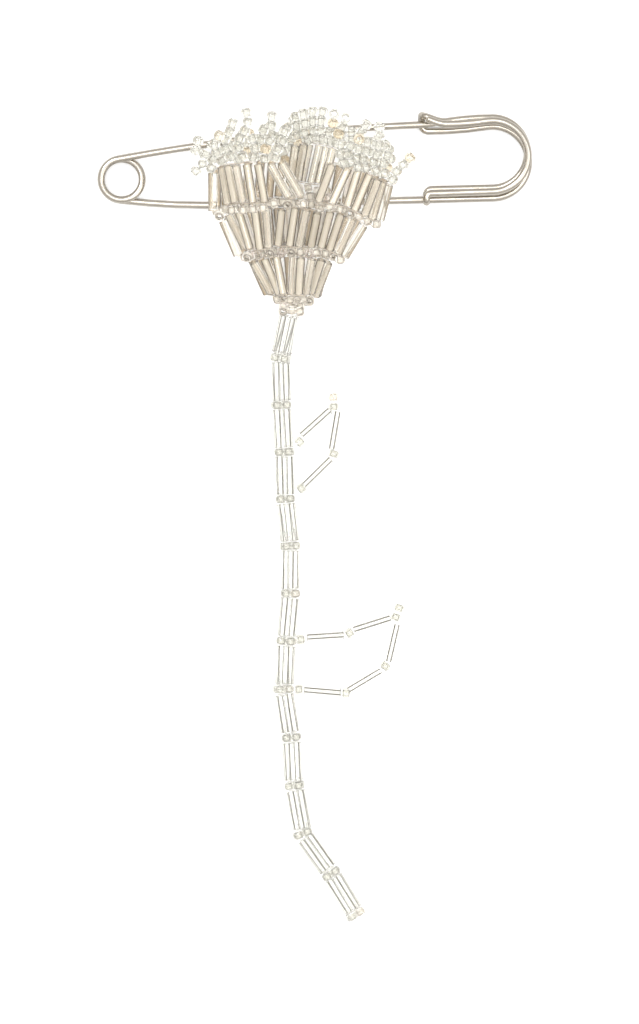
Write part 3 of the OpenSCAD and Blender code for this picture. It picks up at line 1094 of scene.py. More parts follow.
@dataclass
class Pin:
    """The safety pin: fixed wire with its bow and head, spring coil and needle."""

    wire_radius: float = 0.648
    nominal_radius: float = 0.65
    coil_x: float = -34.87
    coil_y: float = 60.16
    coil_radius: float = 3.7
    coil_rise: float = 1.4
    needle_height: float = 2.75
    needle_heading: float = 10.5
    arm_heading: float = -7.0
    needle_bend: float = -8.0
    needle_drop: float = 0.6
    needle_length: float = 61.0
    needle_steps: int = 24
    point_length: float = 6.0
    point_rings: int = 14
    point_curve: float = 0.72
    point_radius: float = 0.04
    bow_radius: float = 6.5
    bow_fall: float = 1.7
    front_rise: float = 1.55
    hook_radius: float = 1.5
    loop_radius: float = 0.75
    step: float = 3.0
    blend_from: float = 1.3
    blend_to: float = 2.1

    def legs(self) -> list[Leg]:
        """The legs of the fixed wire, from the coil to its cut end."""
        bow_tilt = math.degrees(math.asin(self.bow_fall / (2 * self.bow_radius)))
        front_tilt = math.degrees(math.asin(self.front_rise / (2 * self.bow_radius)))
        return [
            Leg(15.5, 7.2),
            Leg(52.3, 2.4),
            arc(self.bow_radius, 186.4),
            Leg(10.6, -9.0),
            arc(1.25, -90.0),
            arc(self.hook_radius, 90.0, 90.0),
            arc(self.hook_radius, 90.0, 70.0),
            Leg(1.0, 0.0, 90.0),
            arc(5.0, 29.0),
            Leg(7.9, -9.0),
            arc(self.bow_radius - 0.15, -178.7, bow_tilt),
            Leg(11.0, 0.0, bow_tilt),
            arc(1.0, 88.7),
            Leg(0.6),
            arc(self.loop_radius, 180.0, 90.0),
            arc(self.loop_radius, -88.0, 90.0),
            Leg(11.4),
            arc(self.bow_radius - 0.1, 187.0, front_tilt),
            Leg(7.2, -9.0, front_tilt),
            arc(6.0, -20.0),
            Leg(1.9),
        ]

    def tip_at(self, heading: float, side: float, height: float, slope: float) -> WireTip:
        """A tip that leaves the coil.

        Args:
            heading: Its heading in degrees.
            side: 1 where it leaves at the coil's far side, -1 at its near side.
            height: Its height.
            slope: Its slope in degrees.

        Returns:
            The tip.
        """
        turn = math.radians(heading)
        left = Vector((-math.sin(turn), math.cos(turn), 0.0))
        ahead = heading_vector(heading, slope)
        at = Vector((self.coil_x, self.coil_y, height)) + left * side * self.coil_radius
        return WireTip(at, ahead, left, ahead.cross(left))

    def frame_run(self) -> WireRun:
        """The run of the fixed wire."""
        run = WireRun()
        tip = self.tip_at(self.arm_heading, -1.0, self.nominal_radius, 0.0)
        run.add(tip.at, self.wire_radius)
        for leg in self.legs():
            start = tip.rolled(leg.roll)
            steps = max(1, math.ceil(abs(leg.bend) / self.step))
            for count in range(1, steps + 1):
                share = count / steps
                tip = start.moved(leg.length * share, leg.bend * share)
                run.add(tip.at, self.wire_radius)
        run.dome(self.wire_radius)
        return run

    def coil_run(self) -> WireRun:
        """The run of the spring coil, from the needle down to the arm."""
        run = WireRun()
        top = self.needle_height
        tilt = math.asin(self.coil_rise / (4 * self.coil_radius))
        bends = (
            (90 + self.needle_heading, 270, top - self.coil_rise / 4, tilt),
            (-90, 90, top - self.coil_rise * 3 / 4, -tilt),
            (90, 270 + self.arm_heading, top - self.coil_rise * 5 / 4, tilt),
        )
        for start, stop, height, lean in bends:
            steps = math.ceil((stop - start) / self.step)
            turn = Matrix.Rotation(lean, 3, "X")
            for count in range(1 if run.places else 0, steps + 1):
                angle = math.radians(mixed(start, stop, count / steps))
                spot = Vector((math.cos(angle), math.sin(angle), 0.0)) * self.coil_radius
                middle = Vector((self.coil_x, self.coil_y, height))
                run.add(middle + turn @ spot, self.wire_radius)
        return run

    def needle_run(self) -> WireRun:
        """The run of the needle, which narrows to a rounded point."""
        run = WireRun()
        tip = self.tip_at(self.needle_heading, 1.0, self.needle_height, -self.needle_drop)
        run.add(tip.at, self.wire_radius)
        shank = self.needle_length - self.point_length
        for count in range(1, self.needle_steps + 1):
            share = count / self.needle_steps
            run.add(tip.moved(shank * share, self.needle_bend * share).at, self.wire_radius)
        end = tip.moved(shank, self.needle_bend)
        for count in range(1, self.point_rings + 1):
            share = count / self.point_rings
            narrow = (1 - share) ** self.point_curve
            run.add(end.moved(self.point_length * share, 0.0).at, self.wire_radius * narrow)
        run.radii[-1] = self.point_radius
        return run

    def build(self, wire: DrawnWire) -> None:
        """Builds and dresses the pin's three pieces."""
        fixed = wire.draw("pin_bow_wire", self.frame_run())
        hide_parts("pin_frame")
        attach(fixed, Body.BROOCH.value)
        needle = wire.draw("pin_needle_wire", self.needle_run())
        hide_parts("pin_needle")
        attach(needle, Body.NEEDLE.value)
        coil = wire.draw("pin_spring_wire", self.coil_run())
        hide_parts("pin_coil")
        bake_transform(coil)
        for piece in (fixed, needle, coil):
            LOG.info("%s: %d faces", piece.name, len(piece.data.polygons))


# Flower


@dataclass(frozen=True)
class Ring:
    """A ring of bead ends round the flower."""

    front_y: float
    back_y: float
    drop: float
    skew: float
    middle_x: float
    half_width: float
    middle_z: float
    half_depth: float
    ease: float

    def point(self, turn: float) -> Vector:
        """The ring's point at a turn: 0 is its right side, 90 its front, 270 its back."""
        angle = math.radians(turn + self.ease * math.sin(math.radians(2 * turn)))
        side, depth = math.cos(angle), math.sin(angle)
        height = mixed(self.front_y, self.back_y, (1 - depth) / 2)
        return Vector(
            (
                self.middle_x + self.half_width * side,
                height - self.drop * side**2 - self.skew * side,
                self.middle_z + self.half_depth * depth,
            )
        )

    def height(self, x: float, facing: int = 1) -> float:
        """Height above the surface at x, of the front half (1) or the back half (-1)."""
        side = max(-1.0, min(1.0, (x - self.middle_x) / self.half_width))
        return self.middle_z + facing * self.half_depth * math.sqrt(1 - side**2)


BASE_LOWER = Ring(37.1, 37.1, 0, 0, -4.2, 1.7, 4.7, 1.7, 0)
BASE_UPPER = Ring(38.25, 38.25, 0.2, 0.2, -3.8, 2.95, 4.6, 2.95, 0)
BASE_END = Ring(39.4, 39.4, 0.2, 0.2, -3.9, 4.75, 5.1, 4.1, 1.5)
LOW_TOP = Ring(45.6, 46.3, 0.6, 0.1, -4.3, 7.2, 6.2, 5.3, 4)
MID_END = Ring(48.0, 48.15, 1.7, 0.1, -3.95, 9.3, 6.7, 5.5, 7)
MID_TOP = Ring(53.9, 55.0, 2.1, 0.4, -3.85, 12.6, 8.9, 6.6, 9)
PETAL_END = Ring(56.1, 56.8, 2.9, 0.6, -3.3, 15.1, 9.5, 6.7, 11)
PETAL_TOP = Ring(62.2, 63.5, 2.4, 1.2, -2.5, 15.9, 11.55, 7.05, 11)
INNER_END = Ring(59.4, 59.4, 0.2, 0.3, -1.0, 3.0, 6.8, 3.7, 0)
INNER_TOP = Ring(66.0, 66.0, 0.3, 0.2, 0.6, 3.3, 9.4, 3.9, 0)

# Where a seed bead's hole points: up its panel, to the viewer, or along its row

HOLE_WAYS = (
    Vector((0.0, 1.0, 0.15)), Vector((-0.12, -0.38, 1.0)), Vector((1.0, 0.25, 0.1)),
)

TubeRow = tuple[float, float, float, float]
SeedRow = tuple[float, float, int]


@dataclass(frozen=True)
class Panel:
    """Tube beads side by side at a tier's back, with the turns of the first and last."""

    node: str
    beads: int
    start: float
    stop: float
    seeded: bool = True

    def turns(self) -> list[float]:
        """Each bead's turn round the flower."""
        last = max(self.beads - 1, 1)
        return [mixed(self.start, self.stop, index / last) for index in range(self.beads)]


@dataclass(frozen=True)
class Tier:
    """One tier of the bell, with the front beads of its panels as they show in the photo.

    A tube's row holds the x and y of its upper end and of its foot. A seed's row holds its
    x and y and the number of its hole's direction in HOLE_WAYS.
    """

    foot: Ring
    top: Ring
    tubes: dict[str, tuple[TubeRow, ...]]
    backs: tuple[Panel, ...] = ()
    seeds: dict[str, tuple[SeedRow, ...]] = field(default_factory=dict)
    seeds_under: Ring | None = None
    facing: int = 1


def base_tier(ring: Ring, seeds: tuple[SeedRow, ...]) -> Tier:
    """A crowded ring of seed beads at the flower's foot."""
    return Tier(ring, ring, {}, (), {"flower_base": seeds}, ring)


TIERS = (
    base_tier(BASE_UPPER, (
        (-6.8, 38.5, 2), (-5.6, 38.6, 1), (-4.4, 38.3, 0), (-3.2, 38.4, 1), (-2.0, 38.4, 2),
        (-0.9, 38.1, 1),
    )),
    base_tier(BASE_LOWER, ((-5.7, 36.3, 1), (-4.1, 36.4, 0), (-2.7, 36.2, 2))),
    Tier(
        BASE_END,
        LOW_TOP,
        {
            "low_panel_1": (
                (-11.05, 45.1, -7.85, 39.5), (-9.05, 45.5, -6.4, 39.2),
                (-6.9, 45.7, -5.6, 39.3),
            ),
            "low_panel_2": (
                (-3.75, 45.75, -4.1, 39.5), (-2.4, 45.4, -2.85, 39.4),
                (-0.55, 45.1, -1.5, 39.5),
            ),
            "low_panel_3": ((1.1, 45.4, -0.75, 39.5), (2.4, 44.8, 0.1, 39.05)),
        },
        (
            Panel("low_panel_3", 1, -24, -24, False),
            Panel("low_panel_4", 3, 312, 264, False),
            Panel("low_panel_5", 3, 240, 192, False),
        ),
    ),
    Tier(
        MID_END,
        MID_TOP,
        {
            "mid_panel_1": (
                (-16.4, 52.25, -13.25, 46.35), (-15.5, 53.5, -12.4, 47.25),
                (-13.6, 53.8, -11.65, 47.3), (-10.65, 53.45, -9.85, 47.65),
                (-8.7, 53.9, -8.3, 47.8),
            ),
            "mid_panel_2": (
                (-5.85, 54.05, -6.55, 47.9), (-3.55, 54.2, -4.45, 47.95),
                (-1.55, 53.8, -2.8, 47.8), (0.5, 53.5, -0.65, 47.8),
            ),
            "mid_panel_3": (
                (2.7, 53.5, 1.3, 47.8), (4.75, 53.2, 2.7, 47.2), (6.75, 52.3, 4.2, 46.6),
                (8.7, 51.4, 5.25, 46.15),
            ),
        },
        (
            Panel("mid_panel_4", 5, 340, 301),
            Panel("mid_panel_5", 6, 291, 242),
            Panel("mid_panel_6", 5, 232, 196),
        ),
        {
            "mid_panel_1": (
                (-12.25, 45.85, 1), (-10.1, 46.15, 1), (-8.0, 46.5, 1), (-5.95, 46.55, 1),
            ),
            "mid_panel_2": (
                (-4.2, 46.65, 1), (-2.6, 46.7, 0), (-1.0, 46.3, 1), (0.4, 46.6, 2),
            ),
            "mid_panel_3": ((1.9, 46.5, 0), (3.4, 46.1, 1), (4.6, 45.4, 0)),
        },
        LOW_TOP,
    ),
    Tier(
        PETAL_END,
        PETAL_TOP,
        {
            "petal_1": (
                (-18.3, 61.05, -18.25, 53.8), (-16.6, 61.65, -15.5, 55.25),
                (-15.5, 61.9, -14.3, 55.5), (-14.1, 61.9, -12.9, 55.5),
                (-12.0, 61.9, -11.05, 55.6), (-10.1, 61.9, -9.0, 55.75),
            ),
            "petal_2": ((-7.9, 62.1, -4.55, 56.1), (-5.85, 62.35, -2.4, 56.35)),
            "petal_3": (
                (3.0, 61.7, 0.75, 55.7), (5.85, 61.25, 3.15, 55.25), (7.8, 61.1, 5.85, 54.8),
                (9.6, 59.9, 7.2, 54.4), (11.2, 59.15, 9.0, 53.35), (12.1, 58.7, 10.35, 52.9),
                (13.3, 58.55, 11.75, 52.6),
            ),
        },
        (Panel("petal_4", 6, 345, 297), Panel("petal_5", 8, 261, 194)),
        {
            "petal_1": (
                (-17.1, 53.2, 1), (-14.85, 54.15, 0), (-12.8, 54.1, 0), (-11.05, 54.2, 0),
                (-9.2, 54.4, 0), (-7.2, 55.2, 2),
            ),
            "petal_2": ((-4.75, 55.0, 1), (-2.05, 55.1, 0)),
            "petal_3": (
                (0.95, 54.5, 1), (2.7, 54.6, 2), (4.5, 54.3, 0), (6.25, 53.5, 1),
                (7.9, 53.0, 0), (9.5, 52.3, 2), (11.0, 51.7, 0),
            ),
        },
        MID_TOP,
    ),
    Tier(
        INNER_END,
        INNER_TOP,
        {
            "inner_petal": (
                (-3.5, 65.5, -4.3, 59.5), (-2.0, 65.8, -3.2, 59.7), (-0.6, 66.2, -2.2, 59.75),
                (0.8, 66.0, -0.85, 59.6), (2.25, 65.85, 0.65, 59.15), (3.3, 65.6, 1.55, 58.7),
            ),
        },
        (),
        {
            "inner_petal": (
                (-3.9, 58.3, 0), (-2.9, 58.6, 1), (-1.2, 58.6, 2), (0.5, 58.1, 0),
                (1.9, 57.8, 0), (-4.2, 56.9, 0), (-2.5, 57.1, 2), (-0.8, 57.1, 0),
                (0.9, 56.8, 1), (2.5, 56.6, 0), (-5.8, 55.9, 0), (-4.0, 55.5, 0),
                (-2.3, 55.6, 0), (-0.6, 55.6, 0), (1.1, 55.3, 0),
            ),
        },
        INNER_END,
        -1,
    ),
)


@dataclass(frozen=True)
class Picot:
    """A short string of seed beads that stands on a petal's edge.

    Its foot's place is in millimetres. Its slope and its headings, one from each bead to
    the next, are in degrees, and the last bead may turn its hole to the viewer.
    """

    x: float
    y: float
    height: float
    slope: float
    headings: tuple[float, ...]
    open_tip: bool = False
    pitch: float = 1.66

    def places(self) -> list[Vector]:
        """Each bead's place, from the foot to the tip."""
        places = [Vector((self.x, self.y, self.height))]
        for heading in self.headings:
            places.append(places[-1] + heading_vector(heading, self.slope) * self.pitch)
        return places


PICOTS = {
    "fringe_1": (
        Picot(-18.5, 61.6, 13.6, -7, (157, 223)),
        Picot(-18.3, 63.3, 13.9, 17, (151, 155, 78)),
        Picot(-16.7, 63.0, 15.2, 22, (122, 100, 59)),
        Picot(-14.9, 63.6, 16.2, 14, (123, 100, 54, 69)),
        Picot(-12.9, 63.6, 17.0, 11, (115, 80, 58, 70, 99)),
        Picot(-10.9, 63.4, 18.2, 14, (78, 109)),
    ),
    "fringe_2": (
        Picot(-8.9, 63.1, 18.7, 10, (87, 57)),
        Picot(-7.0, 63.1, 19.0, 4, (72, 61, 78)),
    ),
    "fringe_3": (
        Picot(5.1, 62.3, 18.6, 12, (107, 81)),
        Picot(6.5, 62.3, 18.4, 8, (111, 61)),
        Picot(7.8, 61.6, 17.8, 16, (102, 82, 90), True),
        Picot(9.2, 61.5, 17.2, 18, (108, 72, 81)),
        Picot(10.8, 61.1, 16.6, 18, (109, 57, 81)),
        Picot(12.4, 60.6, 15.8, 10, (99, 61, 96), True),
        Picot(13.9, 59.6, 14.6, 15, (62, 44, 43)),
    ),
    "fringe_4": (
        Picot(5.0, 64.4, 7.0, 18, (95, 100)),
        Picot(13.0, 61.8, 12.0, 15, (70, 100)),
        Picot(10.3, 64.9, 9.0, 20, (87, 43, 88)),
        Picot(8.5, 65.1, 8.0, 20, (90, 96, 56)),
        Picot(6.4, 65.3, 7.0, 20, (85, 90)),
        Picot(11.9, 63.1, 10.5, 20, (101, 49)),
    ),
    "fringe_5": (
        Picot(-5.4, 63.4, 5.5, 18, (100, 119, 66, 48)),
        Picot(-6.6, 65.6, 8.5, 15, (75, 60)),
        Picot(-9.4, 65.4, 9.0, 15, (100, 70)),
        Picot(-12.4, 64.8, 9.5, 15, (90, 70)),
        Picot(-15.2, 65.8, 10.5, 12, (110, 60)),
        Picot(-8.0, 64.5, 6.0, 18, (121, 90, 97)),
        Picot(-10.9, 64.2, 7.0, 18, (61, 45, 45, 86, 86)),
        Picot(-13.8, 63.5, 8.2, 18, (125, 58, 58)),
        Picot(-16.3, 63.5, 9.5, 18, (135, 127)),
    ),
    "inner_fringe": (
        Picot(-4.4, 65.9, 6.4, 20, (80, 70, 100)),
        Picot(-2.8, 66.5, 6.8, 22, (110, 90, 95)),
        Picot(-1.4, 67.0, 7.2, 22, (109, 85, 102)),
        Picot(-0.1, 67.3, 7.4, 20, (99, 91, 90)),
        Picot(1.3, 67.2, 7.6, 18, (99, 87, 80)),
        Picot(2.7, 66.8, 8.0, 18, (95, 66, 80), True),
        Picot(4.0, 66.3, 8.8, 18, (80, 60, 74), True),
    ),
}


@dataclass
class PlacedBead:
    """A bead of the flower: its node, its kind, its two ends and whether it is behind."""

    node: str
    kind: BeadKind
    ends: tuple[Vector, Vector]
    behind: bool = False
    scale: float = 1.0
    pale: float = 0.0

    def middle(self) -> Vector:
        """The bead's middle."""
        return (self.ends[0] + self.ends[1]) / 2

    def way(self) -> Vector:
        """The direction of the bead's hole."""
        return (self.ends[1] - self.ends[0]).normalized()


@dataclass
class Settling:
    """Pushes crowded beads apart, mostly in depth, as their thread does.

    The bars are the pin's arm and the needle's swing, each by the y where it starts and
    the height of its top. Beads that reach past a bar stay above it.
    """

    rounds: int = 260
    free_rounds: int = 60
    push: float = 0.35
    pull: tuple[float, float, float] = (0.04, 0.04, 0.006)
    behind_hold: float = 2.0
    clearance: float = 0.01
    reach: float = 2.5
    ease: tuple[float, float, float] = (0.1, 0.06, 1.0)
    radii: tuple[float, float] = (0.85, 0.82)
    lowest: float = 0.96
    highest: float = 20.08
    least_run: float = 0.1
    bars: tuple[tuple[float, float], ...] = ((54.3, 1.4), (62.9, 3.35))

    @staticmethod
    def nearest(first: np.ndarray, second: np.ndarray) -> tuple[np.ndarray, np.ndarray]:
        """Finds where pairs of straight beads come nearest.

        Args:
            first: Both ends of each pair's first bead.
            second: Both ends of each pair's second bead.

        Returns:
            The shares along the first and along the second beads.
        """
        run, other = first[:, 1] - first[:, 0], second[:, 1] - second[:, 0]
        apart = first[:, 0] - second[:, 0]
        run_run = (run * run).sum(1)
        other_other = (other * other).sum(1)
        run_other = (run * other).sum(1)
        run_apart = (run * apart).sum(1)
        other_apart = (other * apart).sum(1)
        spread = np.maximum(run_run * other_other - run_other**2, 1e-9)
        share = np.clip((run_other * other_apart - run_apart * other_other) / spread, 0, 1)
        share_other = np.clip((run_other * share + other_apart) / other_other, 0, 1)
        share = np.clip((run_other * share_other - run_apart) / run_run, 0, 1)
        return share, share_other

    def part(
        self, ends: np.ndarray, one: np.ndarray, two: np.ndarray, need: np.ndarray
    ) -> float:
        """Pushes pairs of beads apart once.

        Args:
            ends: Both ends of each bead, which are changed.
            one: The number of each pair's first bead.
            two: The number of each pair's second bead.
            need: The distance that each pair needs.

        Returns:
            The most by which a pair was too near.
        """
        share, share_two = self.nearest(ends[one], ends[two])
        weights = np.stack((1 - share, share), axis=1)
        weights_two = np.stack((1 - share_two, share_two), axis=1)
        gap = (ends[one] * weights[..., None]).sum(1)
        gap = gap - (ends[two] * weights_two[..., None]).sum(1)
        distance = np.maximum(np.linalg.norm(gap, axis=1), 1e-6)
        way = gap / distance[:, None]
        lack = np.maximum(need - distance, 0.0)
        give = way * np.array(self.ease)
        total = (way * give).sum(1) * ((weights**2).sum(1) + (weights_two**2).sum(1))
        step = give * (lack / total * self.push)[:, None]
        np.add.at(ends, one, step[:, None, :] * weights[..., None])
        np.add.at(ends, two, -step[:, None, :] * weights_two[..., None])
        return lack.max()

    def lifted(self, ends: np.ndarray, radii: np.ndarray) -> np.ndarray:
        """The beads' middles, kept above the surface and the bars and below the rim.

        Args:
            ends: Both ends of each bead.
            radii: The beads' radii.

        Returns:
            The middles.
        """
        middles = ends.mean(axis=1)
        half_rise = abs(ends[:, 1, 2] - ends[:, 0, 2]) / 2
        middles[:, 2] = np.maximum(middles[:, 2], self.lowest + half_rise)
        low, top = ends[:, 0], ends[:, 1]
        run_y = np.maximum(top[:, 1] - low[:, 1], self.least_run)
        lift = np.zeros(len(ends))
        for bar_y, bar_top in self.bars:
            share = np.clip((bar_y - low[:, 1]) / run_y, 0.0, 1.0)
            passing = np.minimum(low[:, 2] + (top[:, 2] - low[:, 2]) * share, top[:, 2])
            short = np.maximum(bar_top + radii - passing, 0.0)
            lift = np.maximum(lift, short * (top[:, 1] > bar_y))
        middles[:, 2] += lift
        middles[:, 2] = np.minimum(middles[:, 2], self.highest)
        return middles

    def settle(self, beads: list[PlacedBead]) -> None:
        """Moves the beads apart for a set number of rounds and logs the largest overlap left.

        Args:
            beads: The flower's beads, whose ends are changed.
        """
        ends = np.array([[tuple(end) for end in bead.ends] for bead in beads])
        home = ends.copy()
        radii = np.array([self.radii[bead.kind.value] * bead.scale for bead in beads])
        seeds = np.array([bead.kind is BeadKind.SEED for bead in beads])
        hold = np.array([self.behind_hold if bead.behind else 1.0 for bead in beads])
        pull = np.array(self.pull) * hold[:, None, None]
        length = np.linalg.norm(ends[:, 1] - ends[:, 0], axis=1)
        middles = ends.mean(axis=1)
        apart = np.linalg.norm(middles[:, None] - middles[None, :], axis=2)
        near = apart < (length[:, None] + length[None, :]) / 2 + self.reach
        one, two = np.nonzero(np.triu(near, 1))
        need = radii[one] + radii[two] + self.clearance
        home_way = (home[:, 1] - home[:, 0]) / length[:, None]
        for count in range(self.rounds):
            lack = self.part(ends, one, two, need)
            if count < self.rounds - self.free_rounds:
                ends += (home - ends) * pull
            middles = self.lifted(ends, radii)
            way = ends[:, 1] - ends[:, 0]
            way = way / np.linalg.norm(way, axis=1)[:, None]
            way[seeds] = home_way[seeds]
            half = way * length[:, None] / 2
            ends = np.stack((middles - half, middles + half), axis=1)
        LOG.info("settled %d beads, largest lack %.3f mm", len(beads), lack)
        for bead, (low, top) in zip(beads, ends):
            bead.ends = (Vector(low), Vector(top))


@dataclass
class Flower:
    """The woven bell flower with its petals and its fringe of picots."""

    seed_reach: float = 0.3
    steepest: float = 0.6
    pale_from: float = 0.72
    # painted shade: the back panels' tubes take the lining's darker painted-shade colour
    back_shade: float = -1.0
    inner_pale: float = 0.45
    stitch_reach: float = 0.1
    rim_reach: float = 0.05
    rim_lift: float = 0.5
    base_backs: tuple[tuple[Ring, tuple[int, ...]], ...] = (
        (BASE_UPPER, (216, 252, 288, 324)), (BASE_LOWER, (210, 270, 330)),
    )

    def base_beads(self) -> list[PlacedBead]:
        """The back half of the two crowded rings of seed beads at the flower's foot."""
        return [
            self.seed_at("flower_base", ring.point(turn), Vector((0.0, 1.0, 0.0)), True)
            for ring, turns in self.base_backs
            for turn in turns
        ]

    def seed_at(self, node: str, at: Vector, way: Vector, behind: bool = False) -> PlacedBead:
        """A seed bead with its hole along a way."""
        half = way.normalized() * self.seed_reach / 2
        return PlacedBead(node, BeadKind.SEED, (at - half, at + half), behind)

    def tube_between(
        self, node: str, low: Vector, top: Vector, behind: bool = False
    ) -> PlacedBead:
        """A tube bead midway between two points."""
        half = (top - low).normalized() * BEADS.tube_length / 2
        middle = (low + top) / 2
        return PlacedBead(node, BeadKind.TUBE, (middle - half, middle + half), behind)

    def front_tube(self, tier: Tier, node: str, row: TubeRow) -> PlacedBead:
        """A tube bead that is seen from the front, foreshortened as its length asks.

        Args:
            tier: The tier that it belongs to.
            node: Its node.
            row: The x and y of its upper end and of its foot.

        Returns:
            The placed bead.
        """
        top_x, top_y, foot_x, foot_y = row
        foot_z = tier.foot.height(foot_x, tier.facing)
        top_z = tier.top.height(top_x, tier.facing)
        shown = math.hypot(top_x - foot_x, top_y - foot_y)
        rise = math.sqrt(max(BEADS.tube_length**2 - shown**2, 0.0))
        rise = min(rise, max(top_z - foot_z, 0.0) + self.steepest)
        middle_z = (foot_z + top_z) / 2
        low = Vector((foot_x, foot_y, middle_z - rise / 2))
        top = Vector((top_x, top_y, middle_z + rise / 2))
        bead = self.tube_between(node, low, top)
        reach = (tier.foot.half_width + tier.top.half_width) / 2
        off = (top_x + foot_x - tier.foot.middle_x - tier.top.middle_x) / 2
        side = (abs(off) / reach - self.pale_from) / (1 - self.pale_from)
        bead.pale = min(max(side, 0.0), 1.0) if tier.facing > 0 else self.inner_pale
        return bead

    def panel_beads(self, tier: Tier, panel: Panel) -> list[PlacedBead]:
        """The beads of a panel that is hidden behind the front ones."""
        beads = []
        for turn in panel.turns():
            low, top = tier.foot.point(turn), tier.top.point(turn)
            tube = self.tube_between(panel.node, low, top, True)
            # painted shade on the hidden back tubes
            tube.pale = self.back_shade
            beads.append(tube)
            if panel.seeded:
                way = (top - low).normalized()
                at = tube.ends[0] - way * (BEADS.gap + BEADS.seed_length / 2)
                beads.append(self.seed_at(panel.node, at, way, True))
        return beads

    def tier_beads(self, tier: Tier) -> list[PlacedBead]:
        """Every bead of one tier."""
        beads = []
        for node, rows in tier.tubes.items():
            beads.extend(self.front_tube(tier, node, row) for row in rows)
        for panel in tier.backs:
            beads.extend(self.panel_beads(tier, panel))
        for node, rows in tier.seeds.items():
            for x, y, hole in rows:
                under = tier.seeds_under.height(x, tier.facing)
                z = (under + tier.foot.height(x, tier.facing)) / 2
                beads.append(self.seed_at(node, Vector((x, y, z)), HOLE_WAYS[hole]))
        return beads

    def picot_beads(self, node: str, picot: Picot) -> list[PlacedBead]:
        """The beads of one picot, with their holes along it."""
        places = picot.places()
        beads = []
        for index, place in enumerate(places):
            before = places[max(index - 1, 0)]
            after = places[min(index + 1, len(places) - 1)]
            way = UP if picot.open_tip and after is place else after - before
            bead = self.seed_at(node, place, way)
            bead.scale = PICOT_SCALE
            beads.append(bead)
        return beads

    def stitch(self, strand: Strand, tubes: Sequence[PlacedBead]) -> None:
        """Runs the thread up through each tube bead of a panel and on to the next."""
        route = []
        for index, bead in enumerate(tubes):
            way = bead.way() * (BEADS.gap + self.stitch_reach)
            ends = [bead.ends[0] - way, bead.ends[1] + way]
            route.extend(ends if index % 2 == 0 else ends[::-1])
        strand.thread(route)

    def rims(self, strand: Strand, tubes: Sequence[PlacedBead], facing: int) -> None:
        """Runs a thread along the feet and along the upper ends of a panel's tube beads.

        Args:
            strand: The panel's strand.
            tubes: The tube beads side by side.
            facing: 1 where the thread shows at the front, -1 at the back.
        """
        if len(tubes) < 2:
            return
        lift = Vector((0.0, 0.0, self.rim_lift * facing))
        for end, side in ((0, -1), (1, 1)):
            route = []
            for bead in tubes:
                way = bead.way() * (BEADS.gap + self.rim_reach)
                route.append(bead.ends[end] + way * side + lift)
            strand.thread(route)

    def sew(self, strand: Strand, own: Sequence[PlacedBead]) -> None:
        """Threads a panel through its tube beads, or a ring through its seed beads."""
        tubes = [bead for bead in own if bead.kind is BeadKind.TUBE]
        for facing in (1, -1):
            line = [bead for bead in tubes if bead.behind == (facing < 0)]
            self.stitch(strand, line)
            self.rims(strand, line, facing)
        if not tubes:
            strand.thread([bead.middle() for bead in own])

    def build(self, beads: StrungBeads) -> None:
        """Builds and dresses every piece of the flower.

        Args:
            beads: The geometry tree for beads.
        """
        placed = self.base_beads()
        for tier in TIERS:
            placed.extend(self.tier_beads(tier))
        picots = {
            node: [self.picot_beads(node, picot) for picot in rows]
            for node, rows in PICOTS.items()
        }
        placed.extend(bead for rows in picots.values() for row in rows for bead in row)
        Settling().settle(placed)
        nodes = dict.fromkeys(bead.node for bead in placed)
        for number, node in enumerate(nodes, 1):
            own = [bead for bead in placed if bead.node == node]
            strand = Strand(f"{node}_beads")
            for bead in own:
                way = bead.ends[1] - bead.ends[0]
                strand.put(bead.middle(), way, bead.kind, bead.pale)
            if node in picots:
                for row in picots[node]:
                    strand.thread([bead.middle() for bead in row])
            else:
                self.sew(strand, own)
            beads.string(strand, node, FRINGE if node in picots else CHAMPAGNE, number)


# Stem and leaves


